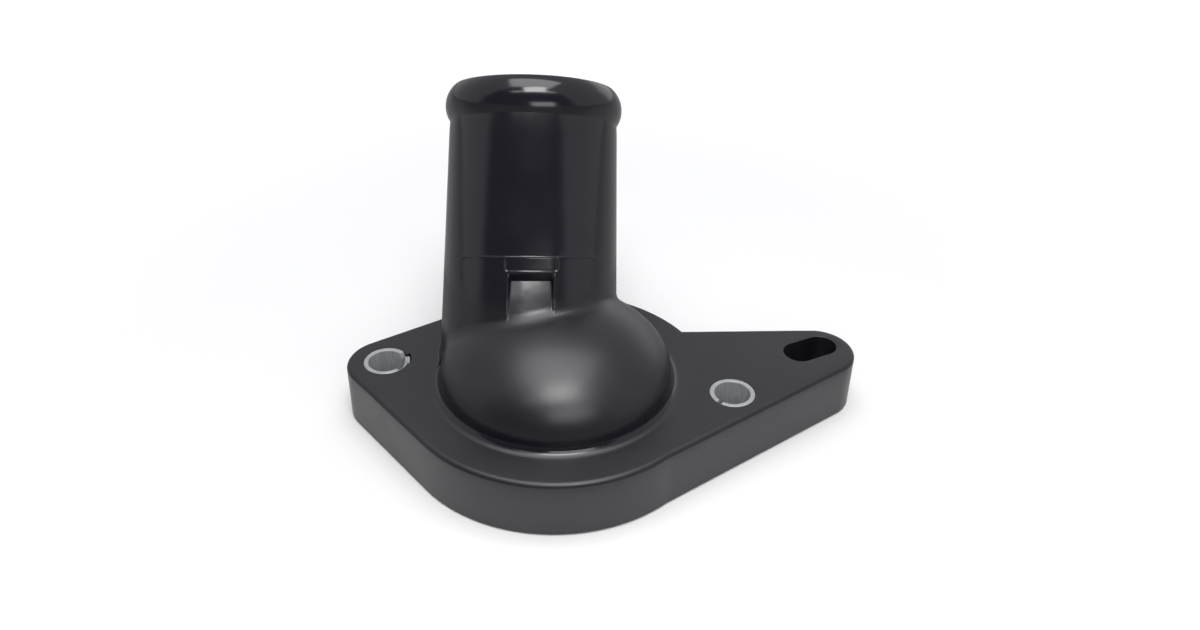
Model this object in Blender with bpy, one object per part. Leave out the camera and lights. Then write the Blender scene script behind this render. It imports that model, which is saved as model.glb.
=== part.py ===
"""Engine coolant outlet: a moulded plastic thermostat housing with a leaning hose spigot.

Units are metres and +Z points away from the engine. The sealing face lies on Z = 0.
X follows the line of the two bolts, and the spigot leans back towards +Y.
The dome axis stands midway between the bolts. It is the datum that carries every piece,
and the world origin is under the middle of the whole part.
"""

import math

import bmesh
import bpy
from mathutils import Vector

# Flange plate
BOLT_PITCH = 0.0700
FLANGE_THICKNESS = 0.0120
FLANGE_RADIUS = 0.0315
BOLT_EAR_RADIUS = 0.0080
SLOT_EAR_FROM_BOLT_X = 0.0175
SLOT_EAR_FROM_BOLT_Y = 0.0173
SLOT_EAR_RADIUS = 0.0078
BACK_CORNER_ANGLE = math.radians(40.0)
FRONT_CORNER_ANGLE = math.radians(40.0)
WALL_DRAFT = math.radians(0.8)
TOP_EDGE_RADIUS = 0.0009
BOTTOM_EDGE_CHAMFER = 0.0003

# Adjusting slot, placed from the centre of its ear
SLOT_FROM_EAR_X = -0.0016
SLOT_FROM_EAR_Y = 0.0001
SLOT_LENGTH = 0.0120
SLOT_WIDTH = 0.0065
SLOT_ANGLE = math.radians(34.0)

# Dome over the inlet
DOME_RADIUS = 0.0230
DOME_RISE = 0.0140
DOME_LIFT = 0.0013
DOME_WALL = 0.0030
DOME_FOOT_FILLET = 0.0018
INLET_CHAMFER = 0.0008

# Hose spigot, measured along its own axis from the sealing face
SPIGOT_FROM_AXIS_X = -0.0064
SPIGOT_FROM_AXIS_Y = 0.0017
SPIGOT_LEAN = math.radians(31.0)
SPIGOT_TURN = math.radians(6.3)
SPIGOT_LENGTH = 0.0672
SPIGOT_RADIUS = 0.0170
SPIGOT_DRAFT = math.radians(1.3)
SPIGOT_ROOT_HEIGHT = 0.0017
BEAD_HEIGHT = 0.0010
BEAD_ARC_RADIUS = 0.0055
BEAD_FROM_TIP = 0.0042
TIP_EDGE_RADIUS = 0.0008
BORE_RADIUS = 0.0140
BORE_DRAFT = math.radians(0.5)
BORE_FLOOR = 0.0050
BORE_LEAD_IN = 0.0005

# Sunk land on the front of the spigot, under the tab of the mould's slide
LAND_STATION = 0.0295
LAND_WIDTH = 0.0085
LAND_DEPTH = 0.0013
LAND_RAMP_LENGTH = 0.0015
LAND_LENGTH = 0.0100
LAND_ANGLE = math.radians(4.5)

# Rubber face seal and its groove
SEAL_RADIUS = 0.0254
SEAL_WIDTH = 0.0034
SEAL_HEIGHT = 0.0022
SEAL_EDGE_RADIUS = 0.0006
SEAL_CLEARANCE = 0.0003
SEAL_RECESS = 0.0001

# Rolled steel compression limiters
LIMITER_RADIUS = 0.0045
LIMITER_WALL = 0.0010
LIMITER_SLIT = 0.0009
LIMITER_CLEARANCE = 0.0003
LEFT_SLIT_ANGLE = math.radians(42.0)
RIGHT_SLIT_ANGLE = math.radians(234.0)

# Coring under the slot ear
CORE_DEPTH = 0.0085
CORE_WALL = 0.0030
CORE_DRAFT = math.radians(1.0)
SEAL_LAND = 0.0036
RIB_THICKNESS = 0.0020
RIB_ANGLE = math.radians(22.0)

# Facets
ROUND_SEGMENTS = 64
SLEEVE_SEGMENTS = 28
FLANGE_ARC_STEPS = 30
EAR_ARC_STEPS = 14
FILLET_STEPS = 4
DOME_STEPS = 9
BEAD_STEPS = 7
LAND_STEPS = 6

# How far a joined or cut shape runs past the surface that it crosses
OVERSHOOT = 0.0010
# How deep a fillet's toe is sunk, so that it crosses the plane it runs out on
TOE_SINK = 0.00002

HALF_PITCH = BOLT_PITCH / 2
SLOT_EAR = Vector((HALF_PITCH + SLOT_EAR_FROM_BOLT_X, SLOT_EAR_FROM_BOLT_Y))
SLOT_CENTRE = SLOT_EAR + Vector((SLOT_FROM_EAR_X, SLOT_FROM_EAR_Y))
CAVITY_RADIUS = DOME_RADIUS - DOME_WALL
DOME_CENTRE_Z = FLANGE_THICKNESS + DOME_LIFT
BEAD_STATION = SPIGOT_LENGTH - BEAD_FROM_TIP
GROOVE_OUTER_RADIUS = SEAL_RADIUS + SEAL_WIDTH / 2 + SEAL_CLEARANCE


def clear_scene():
    """Remove every object, so that the script always starts from nothing."""
    for old in list(bpy.data.objects):
        bpy.data.objects.remove(old, do_unlink=True)


def make_material(name, colour, roughness, metallic):
    """A Principled material of one colour."""
    material = bpy.data.materials.new(name)
    material.use_nodes = True
    shader = material.node_tree.nodes["Principled BSDF"]
    shader.inputs["Base Color"].default_value = (*colour, 1.0)
    shader.inputs["Roughness"].default_value = roughness
    shader.inputs["Metallic"].default_value = metallic
    return material


def object_from(name, bm, parent):
    """Turn a bmesh into a named, smooth-shaded object under the datum."""
    bmesh.ops.recalc_face_normals(bm, faces=bm.faces)
    mesh = bpy.data.meshes.new(name)
    bm.to_mesh(mesh)
    bm.free()
    mesh.shade_smooth()
    mesh.set_sharp_from_angle(angle=math.radians(35.0))
    piece = bpy.data.objects.new(name, mesh)
    piece.parent = parent
    bpy.context.scene.collection.objects.link(piece)
    return piece


def hide_helper(helper):
    """Mark a shape that is only joined to, or cut from, another."""
    helper.hide_render = True
    helper.display_type = "WIRE"
    return helper


def apply_shape(target, helper, operation):
    """Join a helper to the target or cut it away, with the exact solver."""
    boolean = target.modifiers.new(f"{operation.lower()}_{helper.name}", "BOOLEAN")
    boolean.operation = operation
    boolean.solver = "EXACT"
    boolean.object = hide_helper(helper)


def arc(centre, radius, start, end, steps):
    """Points along a circular arc, both ends included."""
    points = []
    for step in range(steps + 1):
        angle = start + (end - start) * step / steps
        points.append((centre[0] + radius * math.cos(angle), centre[1] + radius * math.sin(angle)))
    return points


def skin_between(name, rings, parent):
    """Skin between closed rings of points, all of equal count, with flat ends."""
    bm = bmesh.new()
    loops = [[bm.verts.new(point) for point in ring] for ring in rings]
    count = len(loops[0])
    for near, far in zip(loops, loops[1:]):
        for i in range(count):
            j = (i + 1) % count
            bm.faces.new((near[i], near[j], far[j], far[i]))
    bm.faces.new(loops[0])
    bm.faces.new(loops[-1])
    return object_from(name, bm, parent)


def loft(name, rows, parent):
    """Skin between closed outlines of equal count, given as (outline, height), with flat ends."""
    rings = [[(x, y, height) for x, y in outline] for outline, height in rows]
    return skin_between(name, rings, parent)


def sector(name, profile, middle, sweep, parent):
    """Sweep a closed profile of (radius, height) points through part of a turn about Z."""
    rings = []
    for step in range(LAND_STEPS + 1):
        angle = middle + sweep * (step / LAND_STEPS - 0.5)
        cos, sin = math.cos(angle), math.sin(angle)
        rings.append([(radius * cos, radius * sin, height) for radius, height in profile])
    return skin_between(name, rings, parent)


def revolve(name, profile, parent, closed=False, segments=ROUND_SEGMENTS):
    """Spin a profile of (radius, height) points about Z. A closed profile makes a ring."""
    bm = bmesh.new()
    verts = [bm.verts.new((radius, 0.0, height)) for radius, height in profile]
    edges = [bm.edges.new(pair) for pair in zip(verts, verts[1:])]
    if closed:
        edges.append(bm.edges.new((verts[-1], verts[0])))
    bmesh.ops.spin(
        bm,
        geom=verts + edges,
        axis=(0.0, 0.0, 1.0),
        cent=(0.0, 0.0, 0.0),
        steps=segments,
        angle=2 * math.pi,
        use_merge=True,
    )
    bmesh.ops.remove_doubles(bm, verts=bm.verts, dist=1e-6)
    return object_from(name, bm, parent)


def slot_ear_edge_angle(corner_angle, side):
    """Direction of the outward normal of a straight edge of the slot ear.

    The edge leaves the flange circle at corner_angle and touches the ear's round end.
    side is 1 for the back edge and -1 for the front one.
    """
    corner = FLANGE_RADIUS * Vector((math.cos(corner_angle), side * math.sin(corner_angle)))
    reach = corner - SLOT_EAR
    return math.atan2(reach.y, reach.x) - side * math.acos(SLOT_EAR_RADIUS / reach.length)


def corner_on_circle(normal_angle, side, inset):
    """Angle at which an inset ear edge meets the inset flange circle."""
    normal = Vector((math.cos(normal_angle), math.sin(normal_angle)))
    along = side * Vector((normal.y, -normal.x))
    distance = normal.dot(SLOT_EAR) + SLOT_EAR_RADIUS - inset
    radius = FLANGE_RADIUS - inset
    corner = normal * distance + along * math.sqrt(radius**2 - distance**2)
    return math.atan2(corner.y, corner.x)


def flange_outline(inset):
    """Plan outline of the flange, counterclockwise, moved inwards by inset."""
    back = slot_ear_edge_angle(BACK_CORNER_ANGLE, 1)
    front = slot_ear_edge_angle(FRONT_CORNER_ANGLE, -1)
    back_corner = corner_on_circle(back, 1, inset)
    front_corner = corner_on_circle(front, -1, inset)
    tangent = math.acos((FLANGE_RADIUS - BOLT_EAR_RADIUS) / HALF_PITCH)
    radius = FLANGE_RADIUS - inset
    outline = arc((0, 0), radius, tangent - math.pi, front_corner, FLANGE_ARC_STEPS)
    outline += arc(SLOT_EAR, SLOT_EAR_RADIUS - inset, front, back, EAR_ARC_STEPS)
    outline += arc((0, 0), radius, back_corner, math.pi - tangent, FLANGE_ARC_STEPS)
    bolt_centre = (-HALF_PITCH, 0)
    outline += arc(
        bolt_centre, BOLT_EAR_RADIUS - inset, math.pi - tangent, math.pi + tangent, EAR_ARC_STEPS
    )
    return outline


def build_flange(datum):
    """The plate: drafted walls, a small bottom chamfer and a rounded top edge."""
    slope = math.tan(WALL_DRAFT)
    rows = [(flange_outline(BOTTOM_EDGE_CHAMFER), 0.0)]
    rows.append((flange_outline(BOTTOM_EDGE_CHAMFER * slope), BOTTOM_EDGE_CHAMFER))
    edge_start = FLANGE_THICKNESS - TOP_EDGE_RADIUS
    for step in range(FILLET_STEPS + 1):
        angle = 0.5 * math.pi * step / FILLET_STEPS
        inset = edge_start * slope + TOP_EDGE_RADIUS * (1 - math.cos(angle))
        rows.append((flange_outline(inset), edge_start + TOP_EDGE_RADIUS * math.sin(angle)))
    return loft("housing", rows, datum)


def ellipse_profile(radius, rise, start_z, end_radius=0.0):
    """Quarter of an ellipse about the dome's centre, from start_z up to the axis."""
    first = math.asin((start_z - DOME_CENTRE_Z) / rise)
    points = []
    for step in range(DOME_STEPS + 1):
        angle = first + (0.5 * math.pi - first) * step / DOME_STEPS
        points.append((radius * math.cos(angle), DOME_CENTRE_Z + rise * math.sin(angle)))
    points[-1] = (end_radius, points[-1][1])
    return points


def build_dome(datum):
    """The dome's outer form with the fillet at its foot, rooted inside the plate."""
    foot = (DOME_RADIUS + DOME_FOOT_FILLET, FLANGE_THICKNESS + DOME_FOOT_FILLET - TOE_SINK)
    root_z = FLANGE_THICKNESS - OVERSHOOT
    profile = [(0.0, root_z), (foot[0], root_z)]
    profile += arc(foot, DOME_FOOT_FILLET, 1.5 * math.pi, math.pi, FILLET_STEPS)
    profile += ellipse_profile(DOME_RADIUS, DOME_RISE, foot[1])[1:]
    return revolve("dome_form", profile, datum)


def spigot_radius(station):
    """Outer radius of the drafted spigot at a distance along its axis."""
    return SPIGOT_RADIUS + (BEAD_STATION - station) * math.tan(SPIGOT_DRAFT)


def station_above_face(radius, height):
    """Station whose disc of this radius has its lowest point at this height."""
    return (height + radius * math.sin(SPIGOT_LEAN)) / math.cos(SPIGOT_LEAN)


def bead_profile():
    """The hose bead's round bulge and the rounded edge of the tip, as (radius, station)."""
    centre = (SPIGOT_RADIUS + BEAD_HEIGHT - BEAD_ARC_RADIUS, BEAD_STATION)
    start = -math.acos((SPIGOT_RADIUS - centre[0]) / BEAD_ARC_RADIUS)
    edge_station = SPIGOT_LENGTH - TIP_EDGE_RADIUS
    edge_reach = BEAD_ARC_RADIUS - TIP_EDGE_RADIUS
    end = math.asin((edge_station - BEAD_STATION) / edge_reach)
    edge_centre = (centre[0] + edge_reach * math.cos(end), edge_station)
    profile = arc(centre, BEAD_ARC_RADIUS, start, end, BEAD_STEPS)
    profile += arc(edge_centre, TIP_EDGE_RADIUS, end, 0.5 * math.pi, FILLET_STEPS)[1:]
    return profile


def place_on_spigot_axis(piece):
    """Stand a piece that was revolved about Z on the leaning axis."""
    piece.location = (SPIGOT_FROM_AXIS_X, SPIGOT_FROM_AXIS_Y, 0.0)
    piece.rotation_euler = (-SPIGOT_LEAN, 0.0, SPIGOT_TURN)
    return piece


def build_spigot(datum):
    """The spigot's outer form, from a root inside the plate to the rounded tip."""
    root_radius = spigot_radius(0.0)
    root = station_above_face(root_radius, SPIGOT_ROOT_HEIGHT)
    profile = [(0.0, root), (spigot_radius(root), root)]
    profile += bead_profile()
    profile.append((0.0, SPIGOT_LENGTH))
    return place_on_spigot_axis(revolve("spigot_form", profile, datum))


def build_land(datum):
    """The sunk land: a short ramp inwards, then a tapering floor that runs out inside the dome."""
    ramp_end = LAND_STATION - LAND_RAMP_LENGTH
    run_out = LAND_STATION - LAND_LENGTH
    surface = spigot_radius(LAND_STATION)
    profile = [(surface + OVERSHOOT, LAND_STATION + OVERSHOOT * LAND_RAMP_LENGTH / LAND_DEPTH)]
    profile.append((spigot_radius(ramp_end) - LAND_DEPTH, ramp_end))
    profile.append((spigot_radius(run_out), run_out))
    profile.append((surface + OVERSHOOT, run_out))
    sweep = LAND_WIDTH / surface
    middle = LAND_ANGLE - 0.5 * math.pi
    return place_on_spigot_axis(sector("land_form", profile, middle, sweep, datum))


def build_bore(datum):
    """The water way through the spigot, widening slightly to its lead-in chamfer."""
    start = station_above_face(BORE_RADIUS, BORE_FLOOR)
    start_radius = BORE_RADIUS - (SPIGOT_LENGTH - start) * math.tan(BORE_DRAFT)
    lead_in = SPIGOT_LENGTH - BORE_LEAD_IN
    wide = BORE_RADIUS + BORE_LEAD_IN + OVERSHOOT
    profile = [(0.0, start), (start_radius, start), (BORE_RADIUS, lead_in)]
    profile += [(wide, SPIGOT_LENGTH + OVERSHOOT), (0.0, SPIGOT_LENGTH + OVERSHOOT)]
    return place_on_spigot_axis(revolve("bore_form", profile, datum))


def build_cavity(datum):
    """The inlet and the hollow of the dome, one wall inside its outer form."""
    wide = CAVITY_RADIUS + INLET_CHAMFER + OVERSHOOT
    profile = [(0.0, -OVERSHOOT), (wide, -OVERSHOOT), (CAVITY_RADIUS, INLET_CHAMFER)]
    profile += ellipse_profile(CAVITY_RADIUS, DOME_RISE - DOME_WALL, DOME_CENTRE_Z)
    return revolve("cavity_form", profile, datum)


def build_groove(datum):
    """The seal's groove in the sealing face."""
    depth = SEAL_RECESS + SEAL_HEIGHT + SEAL_CLEARANCE
    inner = SEAL_RADIUS - SEAL_WIDTH / 2 - SEAL_CLEARANCE
    profile = [
        (inner, -OVERSHOOT),
        (GROOVE_OUTER_RADIUS, -OVERSHOOT),
        (GROOVE_OUTER_RADIUS, depth),
        (inner, depth),
    ]
    return revolve("groove_form", profile, datum, closed=True)


def stadium(centre, length, width, angle):
    """Outline of a slot with round ends, its long side turned by angle."""
    half = (length - width) / 2
    along = Vector((math.cos(angle), math.sin(angle)))
    right_angle = 0.5 * math.pi
    start = angle - right_angle
    outline = arc(Vector(centre) + along * half, width / 2, start, start + math.pi, EAR_ARC_STEPS)
    start = angle + right_angle
    outline += arc(Vector(centre) - along * half, width / 2, start, start + math.pi, EAR_ARC_STEPS)
    return outline


def prism(name, outline, bottom, top, datum):
    """Straight-walled solid between two heights."""
    return loft(name, [(outline, bottom), (outline, top)], datum)


def through_cutter(name, outline, datum):
    """Prism that runs past both faces of the plate."""
    return prism(name, outline, -OVERSHOOT, FLANGE_THICKNESS + OVERSHOOT, datum)


def build_slot(datum):
    """The adjusting slot through the long ear."""
    return through_cutter(
        "slot_form", stadium(SLOT_CENTRE, SLOT_LENGTH, SLOT_WIDTH, SLOT_ANGLE), datum
    )


def circle(centre, radius, segments=SLEEVE_SEGMENTS):
    """Outline of a full circle."""
    return arc(centre, radius, 0.0, 2 * math.pi, segments)[:-1]


def build_limiter_hole(name, side, datum):
    """The hole that a compression limiter is moulded into."""
    outline = circle((side * HALF_PITCH, 0.0), LIMITER_RADIUS + LIMITER_CLEARANCE)
    return through_cutter(name, outline, datum)


def ear_core_outline(inset):
    """The slot ear's own outline with a wall left round it, closed at the bolt and the dome axis."""
    back = slot_ear_edge_angle(BACK_CORNER_ANGLE, 1)
    front = slot_ear_edge_angle(FRONT_CORNER_ANGLE, -1)
    bolt = Vector((HALF_PITCH, 0.0))
    normal = Vector((math.cos(front), math.sin(front)))
    beside_bolt = bolt + normal * (normal.dot(SLOT_EAR - bolt) + SLOT_EAR_RADIUS - inset)
    corner = corner_on_circle(back, 1, inset)
    outline = [(0.0, 0.0), tuple(bolt), tuple(beside_bolt)]
    outline += arc(SLOT_EAR, SLOT_EAR_RADIUS - inset, front, back, EAR_ARC_STEPS)
    radius = FLANGE_RADIUS - inset
    outline.append((radius * math.cos(corner), radius * math.sin(corner)))
    return outline


def build_ear_core(datum):
    """The pockets under the slot ear.

    They keep clear of the seal's land, the limiter's boss, the slot's boss and one radial rib.
    """
    narrowing = CORE_DEPTH * math.tan(CORE_DRAFT)
    rows = [(ear_core_outline(CORE_WALL), -OVERSHOOT)]
    rows.append((ear_core_outline(CORE_WALL), 0.0))
    rows.append((ear_core_outline(CORE_WALL + narrowing), CORE_DEPTH))
    core = loft("ear_core_form", rows, datum)
    low, high = -2 * OVERSHOOT, CORE_DEPTH + OVERSHOOT
    boss = LIMITER_RADIUS + LIMITER_CLEARANCE + CORE_WALL
    land = circle((0.0, 0.0), GROOVE_OUTER_RADIUS + SEAL_LAND, ROUND_SEGMENTS)
    slot_boss = stadium(
        SLOT_CENTRE, SLOT_LENGTH + 2 * CORE_WALL, SLOT_WIDTH + 2 * CORE_WALL, SLOT_ANGLE
    )
    rib_end = SLOT_EAR.length
    along = Vector((math.cos(RIB_ANGLE), math.sin(RIB_ANGLE)))
    across = Vector((-along.y, along.x)) * RIB_THICKNESS / 2
    rib = [-across, along * rib_end - across, along * rib_end + across, across]
    kept = (
        ("seal_land_form", land),
        ("limiter_boss_form", circle((HALF_PITCH, 0.0), boss)),
        ("slot_boss_form", slot_boss),
        ("rib_form", [tuple(point) for point in rib]),
    )
    for name, outline in kept:
        apply_shape(core, prism(name, outline, low, high, datum), "DIFFERENCE")
    return core


def build_housing(datum, material):
    """The single moulding: plate, dome and spigot joined, then opened up."""
    housing = build_flange(datum)
    housing.data.materials.append(material)
    spigot = build_spigot(datum)
    apply_shape(spigot, build_land(datum), "DIFFERENCE")
    for form in (build_dome(datum), spigot):
        apply_shape(housing, form, "UNION")
    openings = [
        build_cavity(datum),
        build_bore(datum),
        build_groove(datum),
        build_slot(datum),
        build_limiter_hole("left_hole_form", -1, datum),
        build_limiter_hole("right_hole_form", 1, datum),
        build_ear_core(datum),
    ]
    for form in openings:
        apply_shape(housing, form, "DIFFERENCE")
    return housing


def build_limiter(name, side, slit_angle, datum, material):
    """A sleeve rolled from steel strip, as long as the flange is thick, with an open seam."""
    outer_gap = math.asin(LIMITER_SLIT / 2 / LIMITER_RADIUS)
    inner_radius = LIMITER_RADIUS - LIMITER_WALL
    inner_gap = math.asin(LIMITER_SLIT / 2 / inner_radius)
    full = 2 * math.pi
    outline = arc((0, 0), LIMITER_RADIUS, outer_gap, full - outer_gap, SLEEVE_SEGMENTS)
    outline += arc((0, 0), inner_radius, full - inner_gap, inner_gap, SLEEVE_SEGMENTS)
    limiter = prism(name, outline, 0.0, FLANGE_THICKNESS, datum)
    limiter.location = (side * HALF_PITCH, 0.0, 0.0)
    limiter.rotation_euler = (0.0, 0.0, slit_angle)
    limiter.data.materials.append(material)
    return limiter


def build_seal(datum, material):
    """The rubber ring in its groove, at its pressed height."""
    low = SEAL_RECESS + SEAL_EDGE_RADIUS
    high = SEAL_RECESS + SEAL_HEIGHT - SEAL_EDGE_RADIUS
    reach = SEAL_WIDTH / 2 - SEAL_EDGE_RADIUS
    quarter = 0.5 * math.pi
    corners = ((reach, low, -1), (reach, high, 0), (-reach, high, 1), (-reach, low, 2))
    profile = []
    for offset, height, turn in corners:
        start = turn * quarter
        profile += arc((SEAL_RADIUS + offset, height), SEAL_EDGE_RADIUS, start, start + quarter, 2)
    seal = revolve("face_seal", profile, datum, closed=True)
    seal.data.materials.append(material)
    return seal


def datum_position():
    """Where the dome axis stands, so that the origin is under the middle of the whole part."""
    right = SLOT_EAR.x + SLOT_EAR_RADIUS
    left = -HALF_PITCH - BOLT_EAR_RADIUS
    lean_y = math.sin(SPIGOT_LEAN) * math.cos(SPIGOT_TURN)
    bead_ring = SPIGOT_RADIUS + BEAD_HEIGHT - BEAD_ARC_RADIUS
    back = SPIGOT_FROM_AXIS_Y + BEAD_STATION * lean_y
    back += bead_ring * math.sqrt(1 - lean_y**2) + BEAD_ARC_RADIUS
    return (-(right + left) / 2, -(back - FLANGE_RADIUS) / 2, 0.0)


def build_part():
    """Build every piece on one datum empty."""
    clear_scene()
    datum = bpy.data.objects.new("dome_axis_datum", None)
    datum.location = datum_position()
    bpy.context.scene.collection.objects.link(datum)
    plastic = make_material("black_moulded_plastic", (0.012, 0.013, 0.016), 0.32, 0.0)
    zinc = make_material("zinc_plated_steel", (0.62, 0.64, 0.67), 0.35, 1.0)
    rubber = make_material("seal_rubber", (0.02, 0.02, 0.02), 0.7, 0.0)
    build_housing(datum, plastic)
    build_limiter("limiter_left", -1, LEFT_SLIT_ANGLE, datum, zinc)
    build_limiter("limiter_right", 1, RIGHT_SLIT_ANGLE, datum, zinc)
    build_seal(datum, rubber)


build_part()
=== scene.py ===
"""Looks of the thermostat housing: one black moulding, its two steel sleeves and the face seal.

Everything is worked out in metres from the dome axis, which stands midway between the sleeves,
and is then moved to the frame's own place. X runs along the bolts, and the spigot leans to +Y.
"""

import logging
import math
from dataclasses import dataclass, field
from enum import Enum

import bmesh
import bpy
import numpy as np
from mathutils import Matrix, Vector


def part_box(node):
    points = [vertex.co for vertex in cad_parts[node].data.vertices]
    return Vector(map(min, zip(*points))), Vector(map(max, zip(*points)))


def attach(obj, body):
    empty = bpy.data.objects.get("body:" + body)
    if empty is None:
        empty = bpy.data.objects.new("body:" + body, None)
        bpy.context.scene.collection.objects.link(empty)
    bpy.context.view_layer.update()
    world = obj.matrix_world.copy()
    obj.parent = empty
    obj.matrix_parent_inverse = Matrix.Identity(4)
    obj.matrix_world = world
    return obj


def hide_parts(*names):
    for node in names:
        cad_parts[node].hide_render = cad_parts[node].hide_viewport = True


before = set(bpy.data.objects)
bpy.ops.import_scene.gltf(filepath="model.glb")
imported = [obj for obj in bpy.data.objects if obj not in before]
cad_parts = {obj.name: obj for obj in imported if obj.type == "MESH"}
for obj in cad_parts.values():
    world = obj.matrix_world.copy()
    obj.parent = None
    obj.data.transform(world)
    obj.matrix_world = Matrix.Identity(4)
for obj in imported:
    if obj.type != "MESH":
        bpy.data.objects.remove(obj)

LOG = logging.getLogger("thermostat_housing")
MM = 0.001
QUARTER_TURN = 0.5 * math.pi
HALF_TURN = math.pi
FULL_TURN = 2 * math.pi
SLOT_END_STEPS = 28
LEAST_LENGTH_SQUARED = 1e-12


@dataclass(frozen=True)
class Datum:
    """The dome axis in the frame, read from the two sleeves."""

    origin: np.ndarray
    half_pitch: float
    thickness: float

    @classmethod
    def from_frame(cls) -> "Datum":
        """Midway between the sleeves, on the sealing face.

        Returns:
            The datum that every piece is placed from.
        """
        boxes = [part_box(name) for name in ("limiter_left", "limiter_right")]
        centres = [np.array((low + high) / 2) for low, high in boxes]
        origin = (centres[0] + centres[1]) / 2
        thickness = boxes[0][1].z - boxes[0][0].z
        origin[2] = boxes[0][0].z
        return cls(origin, float(centres[1][0] - centres[0][0]) / 2, thickness)


def linked(name: str, data: bpy.types.ID) -> bpy.types.Object:
    """A new object in the scene's own collection.

    Args:
        name: the object's name.
        data: the mesh, camera or lamp that it holds.

    Returns:
        The object, at the origin.
    """
    item = bpy.data.objects.new(name, data)
    bpy.context.scene.collection.objects.link(item)
    return item


def mesh_piece(name: str, points: np.ndarray, faces: list, datum: Datum) -> bpy.types.Object:
    """Put computed points and faces into a named piece at its place in the frame.

    Args:
        name: the piece's name.
        points: (n, 3) points from the dome axis, in metres.
        faces: lists of point indices.
        datum: where the dome axis stands.

    Returns:
        The linked, smooth-shaded object, with its own object at the origin.
    """
    mesh = bpy.data.meshes.new(name)
    mesh.from_pydata((points + datum.origin).tolist(), [], faces)
    shell = bmesh.new()
    shell.from_mesh(mesh)
    if shell.calc_volume(signed=True) < 0.0:
        bmesh.ops.reverse_faces(shell, faces=shell.faces)
        shell.to_mesh(mesh)
    shell.free()
    mesh.shade_smooth()
    return linked(name, mesh)


def ring_faces(rows: int, columns: int) -> np.ndarray:
    """Quads between successive closed rings: two neighbours of a ring and the two above them.

    Args:
        rows: number of rings.
        columns: number of points in each ring.

    Returns:
        (n, 4) point indices.
    """
    lower = np.arange(rows - 1)[:, None] * columns
    here = np.arange(columns)[None, :]
    after = (here + 1) % columns
    quads = np.stack(
        [lower + here, lower + after, lower + columns + after, lower + columns + here], axis=-1
    )
    return quads.reshape(-1, 4)


def lofted(name: str, rows: np.ndarray, datum: Datum, ring: bool = False) -> bpy.types.Object:
    """A solid from rings of points.

    Args:
        name: the piece's name.
        rows: (rings, columns, 3) points from the dome axis.
        datum: where the dome axis stands.
        ring: joins the last ring to the first, where both ends are otherwise capped.

    Returns:
        The linked object.
    """
    count = rows.shape[1]
    if ring:
        faces = ring_faces(len(rows) + 1, count) % (len(rows) * count)
        return mesh_piece(name, rows.reshape(-1, 3), faces.tolist(), datum)
    faces = ring_faces(len(rows), count)[:, ::-1].tolist()
    faces.append(list(range(count)))
    last = (len(rows) - 1) * count
    faces.append(list(range(last + count - 1, last - 1, -1)))
    return mesh_piece(name, rows.reshape(-1, 3), faces, datum)


def turned(radius: np.ndarray, height: np.ndarray, columns: int) -> np.ndarray:
    """Rings of a profile turned about the dome axis: x = r cos a and y = r sin a.

    Args:
        radius: the profile's radii.
        height: the profile's heights.
        columns: number of points in each ring.

    Returns:
        (profile, columns, 3) points.
    """
    angle = np.linspace(0.0, FULL_TURN, columns, endpoint=False)
    radius, height = np.asarray(radius), np.asarray(height)
    level = np.broadcast_to(height[:, None], (len(height), columns))
    return np.stack([radius[:, None] * np.cos(angle), radius[:, None] * np.sin(angle), level], axis=-1)


def at_height(outline: np.ndarray, z: float) -> np.ndarray:
    """Plan points at one height."""
    return np.column_stack([outline, np.full(len(outline), z)])


def prism_rows(outline: np.ndarray, low: float, high: float) -> np.ndarray:
    """The same plan outline at two heights."""
    return np.array([at_height(outline, low), at_height(outline, high)])


def arc_points(centre: tuple, radius: float, start: float, end: float, steps: int) -> np.ndarray:
    """Plan points along an arc, both ends included.

    Args:
        centre: the arc's plan middle.
        radius: its radius.
        start: its first angle.
        end: its last angle.
        steps: number of steps between them.

    Returns:
        (steps + 1, 2) points.
    """
    angle = np.linspace(start, end, steps + 1)
    return np.array(centre) + radius * np.stack([np.cos(angle), np.sin(angle)], axis=-1)


def circle(centre: tuple, radius: float, steps: int) -> np.ndarray:
    """Plan points round a circle, the first one not repeated."""
    return arc_points(centre, radius, 0.0, FULL_TURN, steps)[:-1]


def stadium(centre: tuple, length: float, width: float, angle: float) -> np.ndarray:
    """Plan outline of a slot: half a circle round each end of its middle line.

    Args:
        centre: the slot's plan middle.
        length: full length, over the round ends.
        width: full width.
        angle: turn of the long side from +X.

    Returns:
        Plan points, counterclockwise.
    """
    half = (length - width) / 2
    along = np.array([math.cos(angle), math.sin(angle)]) * half
    middle = np.array(centre)
    turns = [angle + quarters * QUARTER_TURN for quarters in (-1, 1, 3)]
    first = arc_points(middle + along, width / 2, turns[0], turns[1], SLOT_END_STEPS)
    second = arc_points(middle - along, width / 2, turns[1], turns[2], SLOT_END_STEPS)
    return np.concatenate([first, second])


def cut_away(target: bpy.types.Object, cutters: list[bpy.types.Object]) -> None:
    """Cut pieces out of another with the exact solver, and delete them.

    Args:
        target: the piece that is cut.
        cutters: the pieces that are cut out of it.
    """
    for cutter in cutters:
        boolean = target.modifiers.new(cutter.name, "BOOLEAN")
        boolean.operation = "DIFFERENCE"
        boolean.solver = "EXACT"
        boolean.object = cutter
    bpy.context.view_layer.update()
    evaluated = target.evaluated_get(bpy.context.evaluated_depsgraph_get())
    mesh = bpy.data.meshes.new_from_object(evaluated)
    target.modifiers.clear()
    old = target.data
    target.data = mesh
    bpy.data.meshes.remove(old)
    for cutter in cutters:
        bpy.data.objects.remove(cutter, do_unlink=True)


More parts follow.
